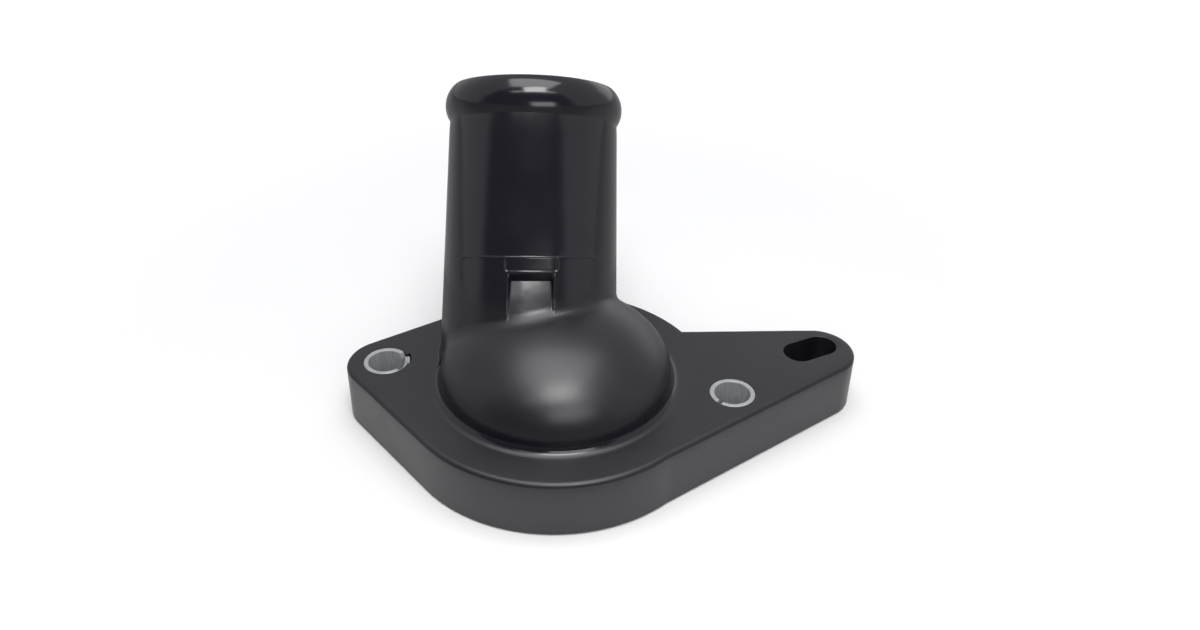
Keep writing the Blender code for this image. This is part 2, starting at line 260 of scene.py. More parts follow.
@dataclass(frozen=True)
class FlangeOutline:
    """The flange's plan: a circle, a small bolt ear and a long slotted ear, joined by tangents.

    A place on the outline is a piece number plus a fraction of that piece, counterclockwise from
    the start of the front arc.
    """

    half_pitch: float
    radius: float = 31.495 * MM
    bolt_ear_radius: float = 8.0 * MM
    slot_ear: tuple[float, float] = (52.5 * MM, 17.3 * MM)
    slot_ear_radius: float = 7.77 * MM
    corner_angle: float = math.radians(40.0)
    counts: tuple[int, ...] = (84, 30, 40, 10, 84, 24, 30, 24)

    def ear_edge_angle(self, side: int) -> float:
        """Direction of the outward normal of an edge of the slotted ear.

        Args:
            side: 1 for the back edge and -1 for the front edge.

        Returns:
            The plan angle of the ear circle's radius that meets the tangent from the corner.
        """
        angle = side * self.corner_angle
        reach_x = self.radius * math.cos(angle) - self.slot_ear[0]
        reach_y = self.radius * math.sin(angle) - self.slot_ear[1]
        opening = math.acos(self.slot_ear_radius / math.hypot(reach_x, reach_y))
        return math.atan2(reach_y, reach_x) - side * opening

    def tangent_angle(self) -> float:
        """Angle from -X to the point where the bolt ear's tangent leaves the circle."""
        return math.acos((self.radius - self.bolt_ear_radius) / self.half_pitch)

    def corner(self, side: int, inset: np.ndarray) -> np.ndarray:
        """Where the inset ear edge meets the inset circle.

        Args:
            side: 1 for the back corner and -1 for the front corner.
            inset: distance inwards.

        Returns:
            The corner's angle on the circle.
        """
        normal = self.ear_edge_angle(side)
        ear_x, ear_y = self.slot_ear
        distance = ear_x * math.cos(normal) + ear_y * math.sin(normal) + self.slot_ear_radius
        gap = np.arccos((distance - inset) / (self.radius - inset))
        return normal - side * gap

    def arc_pieces(self, inset: np.ndarray) -> list[tuple]:
        """The four arcs of the outline.

        Args:
            inset: distance inwards.

        Returns:
            Centre x, centre y, radius, start angle and end angle of each arc.
        """
        tangent = self.tangent_angle()
        full, ear, bolt = (
            size - inset for size in (self.radius, self.slot_ear_radius, self.bolt_ear_radius)
        )
        front, back = self.ear_edge_angle(-1), self.ear_edge_angle(1)
        return [
            (0.0, 0.0, full, tangent - HALF_TURN, self.corner(-1, inset)),
            (*self.slot_ear, ear, front, back),
            (0.0, 0.0, full, self.corner(1, inset), HALF_TURN - tangent),
            (-self.half_pitch, 0.0, bolt, HALF_TURN - tangent, HALF_TURN + tangent),
        ]

    def at(self, place: np.ndarray, inset: np.ndarray | float) -> np.ndarray:
        """Plan points at places on the outline, moved inwards by inset.

        Args:
            place: piece number plus fraction, any shape.
            inset: distance inwards, of a shape that broadcasts with place.

        Returns:
            Array of the broadcast shape with a last axis of x and y.
        """
        place, inset = np.broadcast_arrays(np.asarray(place, float), np.asarray(inset, float))
        number = np.floor(place).astype(int) % len(self.counts)
        fraction = place - np.floor(place)
        arcs = self.arc_pieces(inset)

        def on_arc(index: int, part: np.ndarray) -> np.ndarray:
            """Points at fractions of one arc."""
            x, y, radius, start, end = arcs[index]
            angle = start + (end - start) * part
            return np.stack([x + radius * np.cos(angle), y + radius * np.sin(angle)], axis=-1)

        points = np.zeros(place.shape + (2,))
        for index in range(len(arcs)):
            on = number == 2 * index
            points = np.where(on[..., None], on_arc(index, fraction), points)
            start = on_arc(index, np.ones_like(fraction))
            end = on_arc((index + 1) % len(arcs), np.zeros_like(fraction))
            line = start + (end - start) * fraction[..., None]
            points = np.where((number == 2 * index + 1)[..., None], line, points)
        return points

    def even_places(self) -> np.ndarray:
        """Places spread evenly along each piece."""
        return np.concatenate([i + np.arange(n) / n for i, n in enumerate(self.counts)])


@dataclass(frozen=True)
class SpigotForm:
    """The leaning hose spigot, measured along its own axis from the sealing face."""

    base: tuple[float, float] = (-6.4 * MM, 1.7 * MM)
    lean: float = math.radians(31.0)
    turn: float = math.radians(-6.3)
    length: float = 67.2 * MM
    radius: float = 17.0 * MM
    draft: float = math.radians(1.3)
    bead_station: float = 63.0 * MM
    bead_height: float = 0.975 * MM
    bead_arc_radius: float = 5.5 * MM
    tip_round: float = 0.8 * MM
    tip_steps: int = 9
    bead_steps: int = 30
    bore_radius: float = 14.0 * MM
    bore_draft: float = math.radians(0.5)

    def frame_vectors(self) -> tuple[np.ndarray, np.ndarray, np.ndarray]:
        """The spigot's own directions.

        Returns:
            The axis, the sideways direction towards +X, and the direction that faces the front.
        """
        level, over = math.cos(self.lean), math.sin(self.lean)
        axis = np.array([over * math.sin(self.turn), over * math.cos(self.turn), level])
        side = np.array([math.cos(self.turn), -math.sin(self.turn), 0.0])
        return axis, side, -np.cross(axis, side)

    def outer_radius(self, station: np.ndarray) -> np.ndarray:
        """Radius of the drafted tube at a station."""
        return self.radius + (self.bead_station - station) * math.tan(self.draft)

    def at(self, station: np.ndarray, radius: np.ndarray, angle: np.ndarray) -> np.ndarray:
        """Points round the spigot: base + station x axis + radius x (sin a side + cos a front).

        Args:
            station: distance along the axis from the sealing face.
            radius: distance from the axis.
            angle: turn round the axis, 0 facing the front.

        Returns:
            Points of the broadcast shape.
        """
        axis, side, front = self.frame_vectors()
        station, radius, angle = np.broadcast_arrays(station, radius, angle)
        around = np.sin(angle)[..., None] * side + np.cos(angle)[..., None] * front
        base = np.array([*self.base, 0.0])
        return base + station[..., None] * axis + radius[..., None] * around

    def coordinates(self, points: np.ndarray) -> tuple[np.ndarray, np.ndarray, np.ndarray]:
        """Where points stand on the spigot: the inverse of at().

        Args:
            points: points from the dome axis, of any shape.

        Returns:
            Station, radius and angle of each.
        """
        axis, side, front = self.frame_vectors()
        reach = points - np.array([*self.base, 0.0])
        station = reach @ axis
        across, ahead = reach @ side, reach @ front
        return station, np.hypot(across, ahead), np.arctan2(across, ahead)

    def tip_profile(self) -> tuple[np.ndarray, np.ndarray]:
        """The rounded tip's arc and the bead's arc, which meet as tangents.

        Returns:
            Radius and station, from the tip downwards.
        """
        centre = self.radius + self.bead_height - self.bead_arc_radius
        start = math.acos((self.radius - centre) / self.bead_arc_radius)
        edge_station = self.length - self.tip_round
        reach = self.bead_arc_radius - self.tip_round
        end = math.asin((edge_station - self.bead_station) / reach)
        edge_centre = centre + reach * math.cos(end)
        arcs = (
            (edge_centre, edge_station, self.tip_round, np.linspace(QUARTER_TURN, end, self.tip_steps)),
            (
                centre,
                self.bead_station,
                self.bead_arc_radius,
                np.linspace(end, -start, self.bead_steps)[1:],
            ),
        )
        radius = np.concatenate([middle + size * np.cos(turn) for middle, _, size, turn in arcs])
        station = np.concatenate([level + size * np.sin(turn) for _, level, size, turn in arcs])
        return radius, station


def round_union(first: np.ndarray, second: np.ndarray, radius: float) -> np.ndarray:
    """Distance to two solids joined by a fillet: a circular arc where both are nearer than radius."""
    blend = np.hypot(np.maximum(radius - first, 0.0), np.maximum(radius - second, 0.0))
    return np.maximum(radius, np.minimum(first, second)) - blend


@dataclass(frozen=True)
class HousingForm:
    """The outer form of the moulding, as distances and as the paths that its rows follow."""

    outline: FlangeOutline
    spigot: SpigotForm
    thickness: float
    wall_draft: float = math.radians(0.8)
    top_round: float = 0.9 * MM
    bottom_chamfer: float = 0.3 * MM
    dome_radius: float = 23.0 * MM
    dome_rise: float = 14.0 * MM
    dome_lift: float = 1.3 * MM
    dome_foot_fillet: float = 1.8 * MM
    crease_fillet: float = 1.0 * MM
    ellipse_steps: int = 900
    fillet_steps: int = 90
    plate_run: float = 60.0 * MM
    profile_rise: float = 1e-10
    ear_depth: float = 5.0 * MM
    least_gradient: float = 1e-9
    probe: float = 2e-6
    least_slope: float = 0.25
    crease_search: tuple[float, float, int] = (50.0 * MM, 2.0 * MM, 700)
    crease_halvings: int = 30

    def dome_profile(self) -> tuple[np.ndarray, np.ndarray, np.ndarray, np.ndarray]:
        """The dome's profile as a path over the plate.

        A quarter ellipse falls from the crown to the top of the foot fillet, a quarter circle
        turns it onto the plate, and a straight line runs on past the longest ear.

        Returns:
            Length, radius and height along the profile, and the lengths at the fillet's two ends.
        """
        centre_z = self.thickness + self.dome_lift
        foot_z = self.thickness + self.dome_foot_fillet
        last = math.acos((foot_z - centre_z) / self.dome_rise)
        turn = np.linspace(0.0, last, self.ellipse_steps)
        sweep = np.linspace(0.0, QUARTER_TURN, self.fillet_steps)[1:]
        foot_r = self.dome_radius + self.dome_foot_fillet
        fillet_radius = foot_r - self.dome_foot_fillet * np.cos(sweep)
        fillet_height = foot_z - self.dome_foot_fillet * np.sin(sweep)
        ellipse_height = centre_z + self.dome_rise * np.cos(turn)
        end = [foot_r + self.plate_run]
        radius = np.concatenate([self.dome_radius * np.sin(turn), fillet_radius, end])
        height = np.concatenate([ellipse_height, fillet_height, [self.thickness]])
        radius = np.maximum.accumulate(radius + np.arange(len(radius)) * self.profile_rise)
        steps = np.hypot(np.diff(radius), np.diff(height))
        length = np.concatenate([[0.0], np.cumsum(steps)])
        knots = length[[len(turn) - 1, len(turn) + len(sweep) - 1]]
        return length, radius, height, knots

    def plate_distance(self, points: np.ndarray) -> np.ndarray:
        """Distance to the plate near the circle and the bolt ear's tangents, top edge rounded.

        Args:
            points: points from the dome axis, of any shape.

        Returns:
            Distance of each, negative inside. The slotted ear's side counts as deep inside.
        """
        x, y, z = points[..., 0], np.abs(points[..., 1]), points[..., 2]
        turn = HALF_TURN - self.outline.tangent_angle()
        plain = np.hypot(x, y)
        along = x * math.cos(turn) + y * math.sin(turn)
        reach = np.where(np.arctan2(y, x) > turn, along, plain)
        wall = reach - (self.outline.radius - np.maximum(z, 0.0) * math.tan(self.wall_draft))
        wall = np.where(np.arctan2(y, x) < self.outline.corner_angle, -self.ear_depth, wall)
        out = wall + self.top_round
        up = z - self.thickness + self.top_round
        outside = np.hypot(np.maximum(out, 0.0), np.maximum(up, 0.0))
        return outside + np.minimum(np.maximum(out, up), 0.0) - self.top_round

    def dome_distance(self, points: np.ndarray) -> np.ndarray:
        """First-order distance to the half ellipsoid, standing on a straight foot.

        With s the length of the point scaled by the ellipsoid's radii, it is s(s - 1) over the
        length of the point scaled by their squares.

        Args:
            points: points from the dome axis, of any shape.

        Returns:
            Distance of each, negative inside.
        """
        radius = np.hypot(points[..., 0], points[..., 1])
        height = np.maximum(points[..., 2] - self.thickness - self.dome_lift, 0.0)
        scaled = np.hypot(radius / self.dome_radius, height / self.dome_rise)
        slope = np.hypot(radius / self.dome_radius**2, height / self.dome_rise**2)
        return scaled * (scaled - 1.0) / np.maximum(slope, self.least_gradient)

    def base_distance(self, points: np.ndarray) -> np.ndarray:
        """Distance to the plate and the dome, joined by the foot fillet."""
        return round_union(
            self.dome_distance(points), self.plate_distance(points), self.dome_foot_fillet
        )

    def tube_distance(self, points: np.ndarray) -> np.ndarray:
        """Distance to the drafted tube, taken as endless."""
        station, radius, _ = self.spigot.coordinates(points)
        return (radius - self.spigot.outer_radius(station)) * math.cos(self.spigot.draft)

    def distance(self, points: np.ndarray) -> np.ndarray:
        """Distance to the whole outer form, with a fillet at the foot of the tube."""
        return round_union(
            self.base_distance(points), self.tube_distance(points), self.crease_fillet
        )

    def settle(self, points: np.ndarray, steps: int = 6) -> np.ndarray:
        """Move points onto the outer form along its gradient, by Newton's method.

        Args:
            points: points from the dome axis, of any shape.
            steps: how often they are moved.

        Returns:
            The moved points.
        """
        reach = self.probe
        for _ in range(steps):
            value = self.distance(points)
            slopes = []
            for axis in np.eye(3) * reach:
                rise = self.distance(points + axis) - self.distance(points - axis)
                slopes.append(rise / (2 * reach))
            gradient = np.stack(slopes, axis=-1)
            size = np.maximum((gradient**2).sum(axis=-1), self.least_slope)
            points = points - (value / size)[..., None] * gradient
        return points

    def crease_stations(self, angles: np.ndarray) -> np.ndarray:
        """Where each line down the tube first meets the dome or the plate.

        The first station inside is found on a grid, and halving then narrows the step before it.

        Args:
            angles: angles round the spigot.

        Returns:
            The station at each angle.
        """
        stations = np.linspace(*self.crease_search)
        grid = self.spigot.at(
            stations[:, None], self.spigot.outer_radius(stations)[:, None], angles[None, :]
        )
        inside = self.base_distance(grid) <= 0.0
        first = np.argmax(inside, axis=0)
        high, low = stations[first - 1], stations[first]
        for _ in range(self.crease_halvings):
            middle = (high + low) / 2
            points = self.spigot.at(middle, self.spigot.outer_radius(middle), angles)
            hit = self.base_distance(points) <= 0.0
            low = np.where(hit, middle, low)
            high = np.where(hit, high, middle)
        return (high + low) / 2


@dataclass(frozen=True)
class SlideMark:
    """The line that the mould's slide leaves round the spigot, its tab and the sunk land below.

    The offsets, the tab's rows and the column pitch are in millimetres, the rest in metres.
    """

    line_station: float = 32.6 * MM
    line_height: float = 0.10 * MM
    line_half_width: float = 0.14 * MM
    line_tilt: float = math.radians(1.2)
    tab_angle: float = math.radians(4.5)
    tab_half_width: float = 5.1 * MM
    tab_depth: float = 2.8 * MM
    tab_corner: float = 0.5 * MM
    tab_side_gain: float = 1.6
    tab_foot_gain: float = 0.7
    line_fade: tuple[float, float] = (6.5 * MM, 11.0 * MM)
    faded_share: float = 0.3
    tab_top_gap: float = 0.06 * MM
    land_half_width: float = 4.55 * MM
    land_top: float = 3.05 * MM
    land_foot: float = 4.6 * MM
    land_depth: float = 1.3 * MM
    land_end: float = 13.0 * MM
    land_side: float = 0.5 * MM
    land_power: float = 1.3
    mean_radius: float = 17.8 * MM
    ridge_offsets: tuple[float, ...] = (-0.34, -0.2, -0.1, 0.0, 0.1, 0.2, 0.34)
    beside_offsets: tuple[float, ...] = (0.1, 0.2)
    foot_offsets: tuple[float, ...] = (0.1, 0.25, 0.5)
    tab_rows: tuple[float, float, int] = (0.9, 2.1, 4)
    ramp_rows: int = 7
    ramp_start: float = 0.2 * MM
    column_pitch: float = 0.05
    station_digits: int = 6

    def line_distance(self, across: np.ndarray, below: np.ndarray) -> np.ndarray:
        """Distance to the line, which runs level and drops round a tab with rounded corners.

        Args:
            across: distance round the tube from the tab's middle.
            below: distance down the tube from the line.

        Returns:
            Distance of each place. Over the tab the level line counts as a little further off.
        """
        half, depth, corner = self.tab_half_width, self.tab_depth, self.tab_corner
        level = np.hypot(np.maximum(half - np.abs(across), 0.0), below)
        out_x = np.abs(across) - (half - corner)
        out_y = below - (depth - corner)
        rounded = np.hypot(np.maximum(out_x, 0.0), np.maximum(out_y, 0.0))
        box = rounded + np.minimum(np.maximum(out_x, out_y), 0.0) - corner
        tab = np.where(below > 0.0, np.abs(box), np.hypot(box, below))
        faint = np.abs(below) + self.tab_top_gap
        return np.minimum(np.minimum(level, tab), np.where(np.abs(across) < half, faint, level))

    def rise(self, angle: np.ndarray) -> np.ndarray:
        """How much further up the tube the slightly tilted line runs at an angle."""
        return self.mean_radius * math.tan(self.line_tilt) * np.sin(angle)

    def height(self, station: np.ndarray, angle: np.ndarray) -> np.ndarray:
        """How far the surface stands off the plain tube.

        The ridge is a bell curve of the distance to the line. The land sinks along a straight
        ramp, comes out by a power of the length that is left, and has smoothstep sides.

        Args:
            station: distance along the spigot's axis.
            angle: turn round the axis.

        Returns:
            Height in metres, negative on the land.
        """
        turn = np.mod(angle - self.tab_angle + HALF_TURN, FULL_TURN) - HALF_TURN
        across = turn * self.mean_radius
        below = self.line_station + self.rise(angle) - station
        ratio = self.line_distance(across, below) / self.line_half_width
        ridge = self.line_height * np.exp(-(ratio**2))
        beside = np.abs(across) > self.tab_half_width - self.tab_corner
        tab = np.where(beside, self.tab_side_gain, self.tab_foot_gain)
        fade = np.interp(np.abs(across), self.line_fade, (1.0, self.faded_share))
        ridge = ridge * np.where(below > self.tab_corner, tab, fade)
        ramp = np.clip((below - self.land_top) / (self.land_foot - self.land_top), 0.0, 1.0)
        left = np.clip((self.land_end - below) / (self.land_end - self.land_foot), 0.0, 1.0)
        depth = self.land_depth * np.minimum(ramp, left**self.land_power)
        side = np.clip((self.land_half_width - np.abs(across)) / self.land_side, 0.0, 1.0)
        return ridge - depth * side * side * (3.0 - 2.0 * side)

    def column_angles(self) -> np.ndarray:
        """Extra columns for the tab's and the land's upright edges.

        Returns:
            Angles round the spigot.
        """
        fine = np.array(self.ridge_offsets) * MM
        side = np.linspace(0.0, self.land_side, self.ramp_rows)
        beside = self.land_half_width + np.array(self.beside_offsets) * MM
        edges = np.concatenate([self.tab_half_width + fine, self.land_half_width - side, beside])
        edges = np.unique(np.round(edges / (self.column_pitch * MM)) * self.column_pitch * MM)
        return self.tab_angle + np.concatenate([-edges, edges]) / self.mean_radius

    def row_stations(self) -> np.ndarray:
        """Rows for the line, the tab and the land.

        Returns:
            Stations, downwards.
        """
        fine = np.array(self.ridge_offsets) * MM
        ramp = np.linspace(self.land_top + self.ramp_start, self.land_foot, self.ramp_rows)
        foot = self.land_foot + np.array(self.foot_offsets) * MM
        tab = np.linspace(*self.tab_rows) * MM
        below = np.concatenate([fine, tab, self.tab_depth + fine[:-1], ramp, foot])
        return self.line_station - np.unique(np.round(below, self.station_digits))


@dataclass
class Housing:
    """The moulding: plate, dome and spigot in one skin, with its inside cut out of it.

    crease_rows are millimetres above the crease. groove holds its inner radius, outer radius and
    depth. ear_relief holds its middle angle, half its spread, its reach and its depth.
    """

    datum: Datum
    form: HousingForm
    mark: SlideMark = field(default_factory=SlideMark)
    cavity_radius: float = 20.0 * MM
    cavity_rise: float = 11.0 * MM
    inlet_chamfer: float = 0.8 * MM
    bore_floor: float = 5.0 * MM
    bore_lead_in: float = 0.5 * MM
    groove: tuple[float, float, float] = (23.4 * MM, 27.4 * MM, 2.6 * MM)
    slot_centre: tuple[float, float] = (50.9 * MM, 17.4 * MM)
    slot_size: tuple[float, float] = (12.0 * MM, 6.5 * MM)
    slot_angle: float = math.radians(34.0)
    hole_radius: float = 4.52 * MM
    ear_relief: tuple[float, float, float, float] = (
        math.radians(17.0),
        math.radians(21.0),
        5.1 * MM,
        0.9 * MM,
    )
    edge_break: float = 0.15 * MM
    core_depth: float = 8.5 * MM
    core_wall: float = 3.0 * MM
    core_draft: float = math.radians(1.0)
    seal_land: float = 3.6 * MM
    rib_angle: float = math.radians(22.0)
    rib_thickness: float = 2.0 * MM
    overshoot: float = 1.0 * MM
    dome_rows: int = 20
    fillet_rows: int = 12
    plate_rows: int = 14
    crease_crowding: float = 0.06 * MM
    crease_rows: tuple[float, ...] = (2.6, 2.1, 1.7, 1.35, 1.05, 0.8, 0.6, 0.4, 0.2, 0.0)
    least_column: float = 0.002
    dense_angles: int = 2401
    edge_samples: int = 8001
    place_nudge: float = 1e-9
    turn_rise: float = 1e-7
    upper_rows: int = 16
    lower_rows: int = 12
    crease_room: float = 1.3
    mark_fade: float = 1.5 * MM
    settle_reach: float = 4.995 * MM
    dome_crowding: float = 1.25
    plate_crowding: float = 1.3
    flush_depth: float = 0.005 * MM
    least_run: float = 0.02 * MM
    rim_rows: int = 9
    wall_rows: int = 8
    blend_reach: tuple[float, float] = (7.0 * MM, 3.0 * MM)
    foot_margin: float = 0.3 * MM
    hollow_rows: int = 28
    round_columns: int = 160
    slot_rows: int = 5
    slot_flare: float = 1.4
    hole_columns: int = 96
    relief_steps: int = 16
    nose_steps: int = 24
    land_columns: int = 128
    boss_columns: int = 64
    sharp_angle: float = math.radians(33.0)

    def columns(self) -> tuple[np.ndarray, np.ndarray, np.ndarray]:
        """Match each column of the skin to a place on the outline and an angle on the spigot.

        A column leaves the spigot where its line meets the dome or the plate, and runs away from
        the middle of the spigot's foot. The plan direction of that run picks the outline's point.

        Returns:
            Outline places, spigot angles and crease stations, in order round the part.
        """
        form = self.form
        last = float(len(form.outline.counts))
        dense = np.linspace(-HALF_TURN, HALF_TURN, self.dense_angles)
        stations = form.crease_stations(dense)
        crease = form.spigot.at(stations, form.spigot.outer_radius(stations), dense)
        middle = self.foot_middle()
        crease_turn = np.unwrap(np.arctan2(crease[:, 1] - middle[1], crease[:, 0] - middle[0]))
        crease_turn = np.maximum.accumulate(crease_turn) + self.turn_rise * np.arange(len(dense))
        places = np.linspace(0.0, last, self.edge_samples)
        edge = form.outline.at(np.minimum(places, last - self.place_nudge), 0.0)
        edge_turn = np.unwrap(np.arctan2(edge[:, 1] - middle[1], edge[:, 0] - middle[0]))
        start = edge_turn[0]
        crease_turn += FULL_TURN * round((start + HALF_TURN - crease_turn.mean()) / FULL_TURN)
        wide_turn, wide_angle = (
            np.concatenate([once[:-1] - FULL_TURN, once[:-1], once + FULL_TURN])
            for once in (crease_turn, dense)
        )
        even = form.outline.even_places()
        angles = np.interp(np.interp(even, places, edge_turn), wide_turn, wide_angle)
        extra = self.mark.column_angles()
        extra = extra + FULL_TURN * np.round((angles.mean() - extra) / FULL_TURN)
        extra_turn = np.interp(extra, wide_angle, wide_turn)
        extra_turn = start + np.mod(extra_turn - start, FULL_TURN)
        extra_place = np.interp(extra_turn, edge_turn, places)
        place = np.concatenate([even, extra_place])
        angle = np.concatenate([angles, np.interp(extra_turn, wide_turn, wide_angle)])
        order = np.argsort(angle)
        place, angle = place[order], angle[order]
        apart = np.diff(angle, prepend=angle[0] - 1.0) > self.least_column
        place, angle = place[apart], angle[apart]
        return place, angle, form.crease_stations(angle)

    def foot_middle(self) -> np.ndarray:
        """Where the spigot's axis passes through the plate's top face.

        Returns:
            The plan point.
        """
        axis, _, _ = self.form.spigot.frame_vectors()
        station = self.form.thickness / axis[2]
        return np.array(self.form.spigot.base) + station * axis[:2]

    def tube_rows(self, angle: np.ndarray, crease: np.ndarray) -> np.ndarray:
        """Rows of the spigot, from the tip's edge down to just above the crease.

        Args:
            angle: each column's angle round the spigot.
            crease: station at which each column meets the dome or the plate.

        Returns:
            (rows, columns, 3) points.
        """
        spigot = self.form.spigot
        tip_radius, tip_station = spigot.tip_profile()
        tip = spigot.at(tip_station[:, None], tip_radius[:, None], angle[None, :])
        marks = self.mark.row_stations()[:, None] + self.mark.rise(angle)[None, :]
        share = np.linspace(0.0, 1.0, self.upper_rows)[1:-1, None]
        level = np.concatenate([tip_station[-1] + share * (marks[:1] - tip_station[-1]), marks])
        lowest = marks[-1:]
        span = lowest - crease
        room = self.crease_room * self.crease_rows[0] * MM
        near_crease = np.array(self.crease_rows)[:, None] * MM * np.minimum(1.0, span / room)
        share = np.linspace(0.0, 1.0, self.lower_rows)[1:-1, None]
        lower = lowest - share * (span - near_crease[0])
        station = np.concatenate([level, lower, crease[None, :] + near_crease])
        above = station - crease[None, :]
        height = self.mark.height(station, angle[None, :])
        height = height * np.clip(above / self.mark_fade, 0.0, 1.0)
        points = spigot.at(station, spigot.outer_radius(station) + height, angle[None, :])
        near = len(level)
        _, side, front = spigot.frame_vectors()
        around = np.sin(angle)[:, None] * side + np.cos(angle)[:, None] * front
        settled = self.form.settle(points[near:]) + height[near:, :, None] * around[None]
        plain = (above[near:] > self.settle_reach)[..., None]
        mixed = np.where(plain, points[near:], settled)
        return np.concatenate([tip, points[:near], mixed])

    def outside_rows(self, place: np.ndarray, angle: np.ndarray, crease: np.ndarray) -> np.ndarray:
        """Rows from the crease over the dome and the plate, round the rim and down the wall.

        Each column is a path: along the dome's profile to the rim, a quarter circle, the drafted
        wall and the bottom chamfer. A row is a length along that path from the crease. Behind the
        spigot the crease lies on the rim or the wall, and there the rows crowd together below it.

        Args:
            place: each column's place on the flange's outline.
            angle: each column's angle round the spigot.
            crease: station at which each column meets the dome or the plate.

        Returns:
            (rows, columns, 3) points.
        """
        form = self.form
        spigot = form.spigot
        start = spigot.at(crease, spigot.outer_radius(crease), angle)
        length, radius, height, (fillet_top, fillet_toe) = form.dome_profile()
        slope = math.tan(form.wall_draft)
        edge_z = form.thickness - form.top_round
        rim_inset = edge_z * slope + form.top_round
        target = form.outline.at(place, rim_inset)
        start_length = np.interp(np.hypot(start[:, 0], start[:, 1]), radius, length)
        target_length = np.interp(np.hypot(target[:, 0], target[:, 1]), radius, length)
        over_edge = np.arcsin(np.clip((start[:, 2] - edge_z) / form.top_round, -1.0, 1.0))
        arc_length = QUARTER_TURN * form.top_round
        on_rim = form.top_round * (QUARTER_TURN - over_edge)
        down = np.where(start[:, 2] > edge_z, on_rim, arc_length + edge_z - start[:, 2])
        flush = start[:, 2] < form.thickness - self.flush_depth
        rim_at = np.where(flush, -down, np.maximum(target_length - start_length, self.least_run))
        share = np.linspace(0.0, 1.0, self.dome_rows + 1)[1:, None] ** self.dome_crowding
        dome = share * np.maximum(fillet_top - start_length, 0.0)
        share = np.linspace(0.0, 1.0, self.fillet_rows + 1)[1:, None]
        fillet = fillet_top + share * (fillet_toe - fillet_top) - start_length
        share = np.linspace(0.0, 1.0, self.plate_rows + 1)[1:-1, None] ** self.plate_crowding
        plate_start = np.maximum(fillet_toe - start_length, 0.0)
        plate = plate_start + share * np.maximum(rim_at - plate_start, 0.0)
        rim = rim_at + np.linspace(0.0, arc_length, self.rim_rows)[:, None]
        wall = np.linspace(0.0, edge_z - form.bottom_chamfer, self.wall_rows)[1:, None]
        wall = arc_length + wall
        chamfer = rim_at + wall[-1] + np.array([[form.bottom_chamfer]])
        wanted = np.concatenate([dome, fillet, plate, rim, rim_at + wall, chamfer])
        floor = self.crease_crowding * np.arange(1, len(wanted) + 1)[:, None]
        along = np.maximum(wanted, floor)
        on_top = along < rim_at
        profile = start_length + along
        reach = np.interp(profile, length, radius)
        flat = self.along_ray(start[:, :2], target, reach)
        top_points = np.concatenate([flat, np.interp(profile, length, height)[..., None]], axis=-1)
        beyond = np.maximum(along - rim_at, 0.0)
        turn = np.minimum(beyond / form.top_round, QUARTER_TURN)
        fall = np.maximum(beyond - arc_length, 0.0)
        on_arc = beyond < arc_length
        z = np.where(on_arc, edge_z + form.top_round * np.cos(turn), edge_z - fall)
        z = np.maximum(z, 0.0)
        rounding = form.top_round * (1.0 - np.sin(turn))
        low_inset = z * slope + rounding + np.maximum(form.bottom_chamfer - z, 0.0)
        inset = np.where(on_arc, edge_z * slope + rounding, low_inset)
        edge = form.outline.at(place[None, :], inset)
        edge_points = np.concatenate([edge, z[..., None]], axis=-1)
        points = np.where(on_top[..., None], top_points, edge_points)
        near = np.linalg.norm(points - start[None], axis=-1)
        outer_reach, ramp = self.blend_reach
        blend = np.clip((outer_reach - near) / ramp, 0.0, 1.0)[..., None]
        above = (points[..., 2] > form.bottom_chamfer + self.foot_margin)[..., None]
        settled = form.settle(points)
        return np.where(above, points + (settled - points) * blend, points)

    @staticmethod
    def along_ray(start: np.ndarray, target: np.ndarray, reach: np.ndarray) -> np.ndarray:
        """Plan points on the lines from start to target at given distances from the dome axis.

        A point's share of the way is the larger root of the circle's equation along the line.

        Args:
            start: plan point of each column at the crease.
            target: plan point of each column at the rim.
            reach: distances from the dome axis.

        Returns:
            (rows, columns, 2) plan points.
        """
        step = target - start
        a = (step**2).sum(axis=-1)
        b = (start * step).sum(axis=-1)
        c = (start**2).sum(axis=-1) - reach**2
        root = np.sqrt(np.maximum(b**2 - a * c, 0.0))
        share = np.clip((root - b) / np.maximum(a, LEAST_LENGTH_SQUARED), 0.0, 1.0)
        return start + share[..., None] * step

    def inlet_form(self) -> bpy.types.Object:
        """The inlet and the dome's hollow, a half ellipsoid, with the chamfer at its mouth.

        Returns:
            The cutter.
        """
        form = self.form
        wide = self.cavity_radius + self.inlet_chamfer + self.overshoot
        turn = np.linspace(0.0, QUARTER_TURN, self.hollow_rows)[:-1]
        dome_height = form.thickness + form.dome_lift + self.cavity_rise * np.sin(turn)
        radius = np.concatenate([[wide, self.cavity_radius], self.cavity_radius * np.cos(turn)])
        height = np.concatenate([[-self.overshoot, self.inlet_chamfer], dome_height])
        return lofted("inlet_form", turned(radius, height, self.round_columns), self.datum)

    def bore_form(self) -> bpy.types.Object:
        """The water way through the spigot, a cone that opens at a small lead-in.

        Returns:
            The cutter.
        """
        spigot = self.form.spigot
        tip = spigot.length
        start = (self.bore_floor + spigot.bore_radius * math.sin(spigot.lean)) / math.cos(spigot.lean)
        narrow = spigot.bore_radius - (tip - start) * math.tan(spigot.bore_draft)
        wide = spigot.bore_radius + self.bore_lead_in + self.overshoot
        station = np.array([start, tip - self.bore_lead_in, tip + self.overshoot])
        radius = np.array([narrow, spigot.bore_radius, wide])
        angle = np.linspace(0.0, FULL_TURN, self.round_columns, endpoint=False)
        rows = spigot.at(station[:, None], radius[:, None], angle[None, :])
        return lofted("bore_form", rows, self.datum)

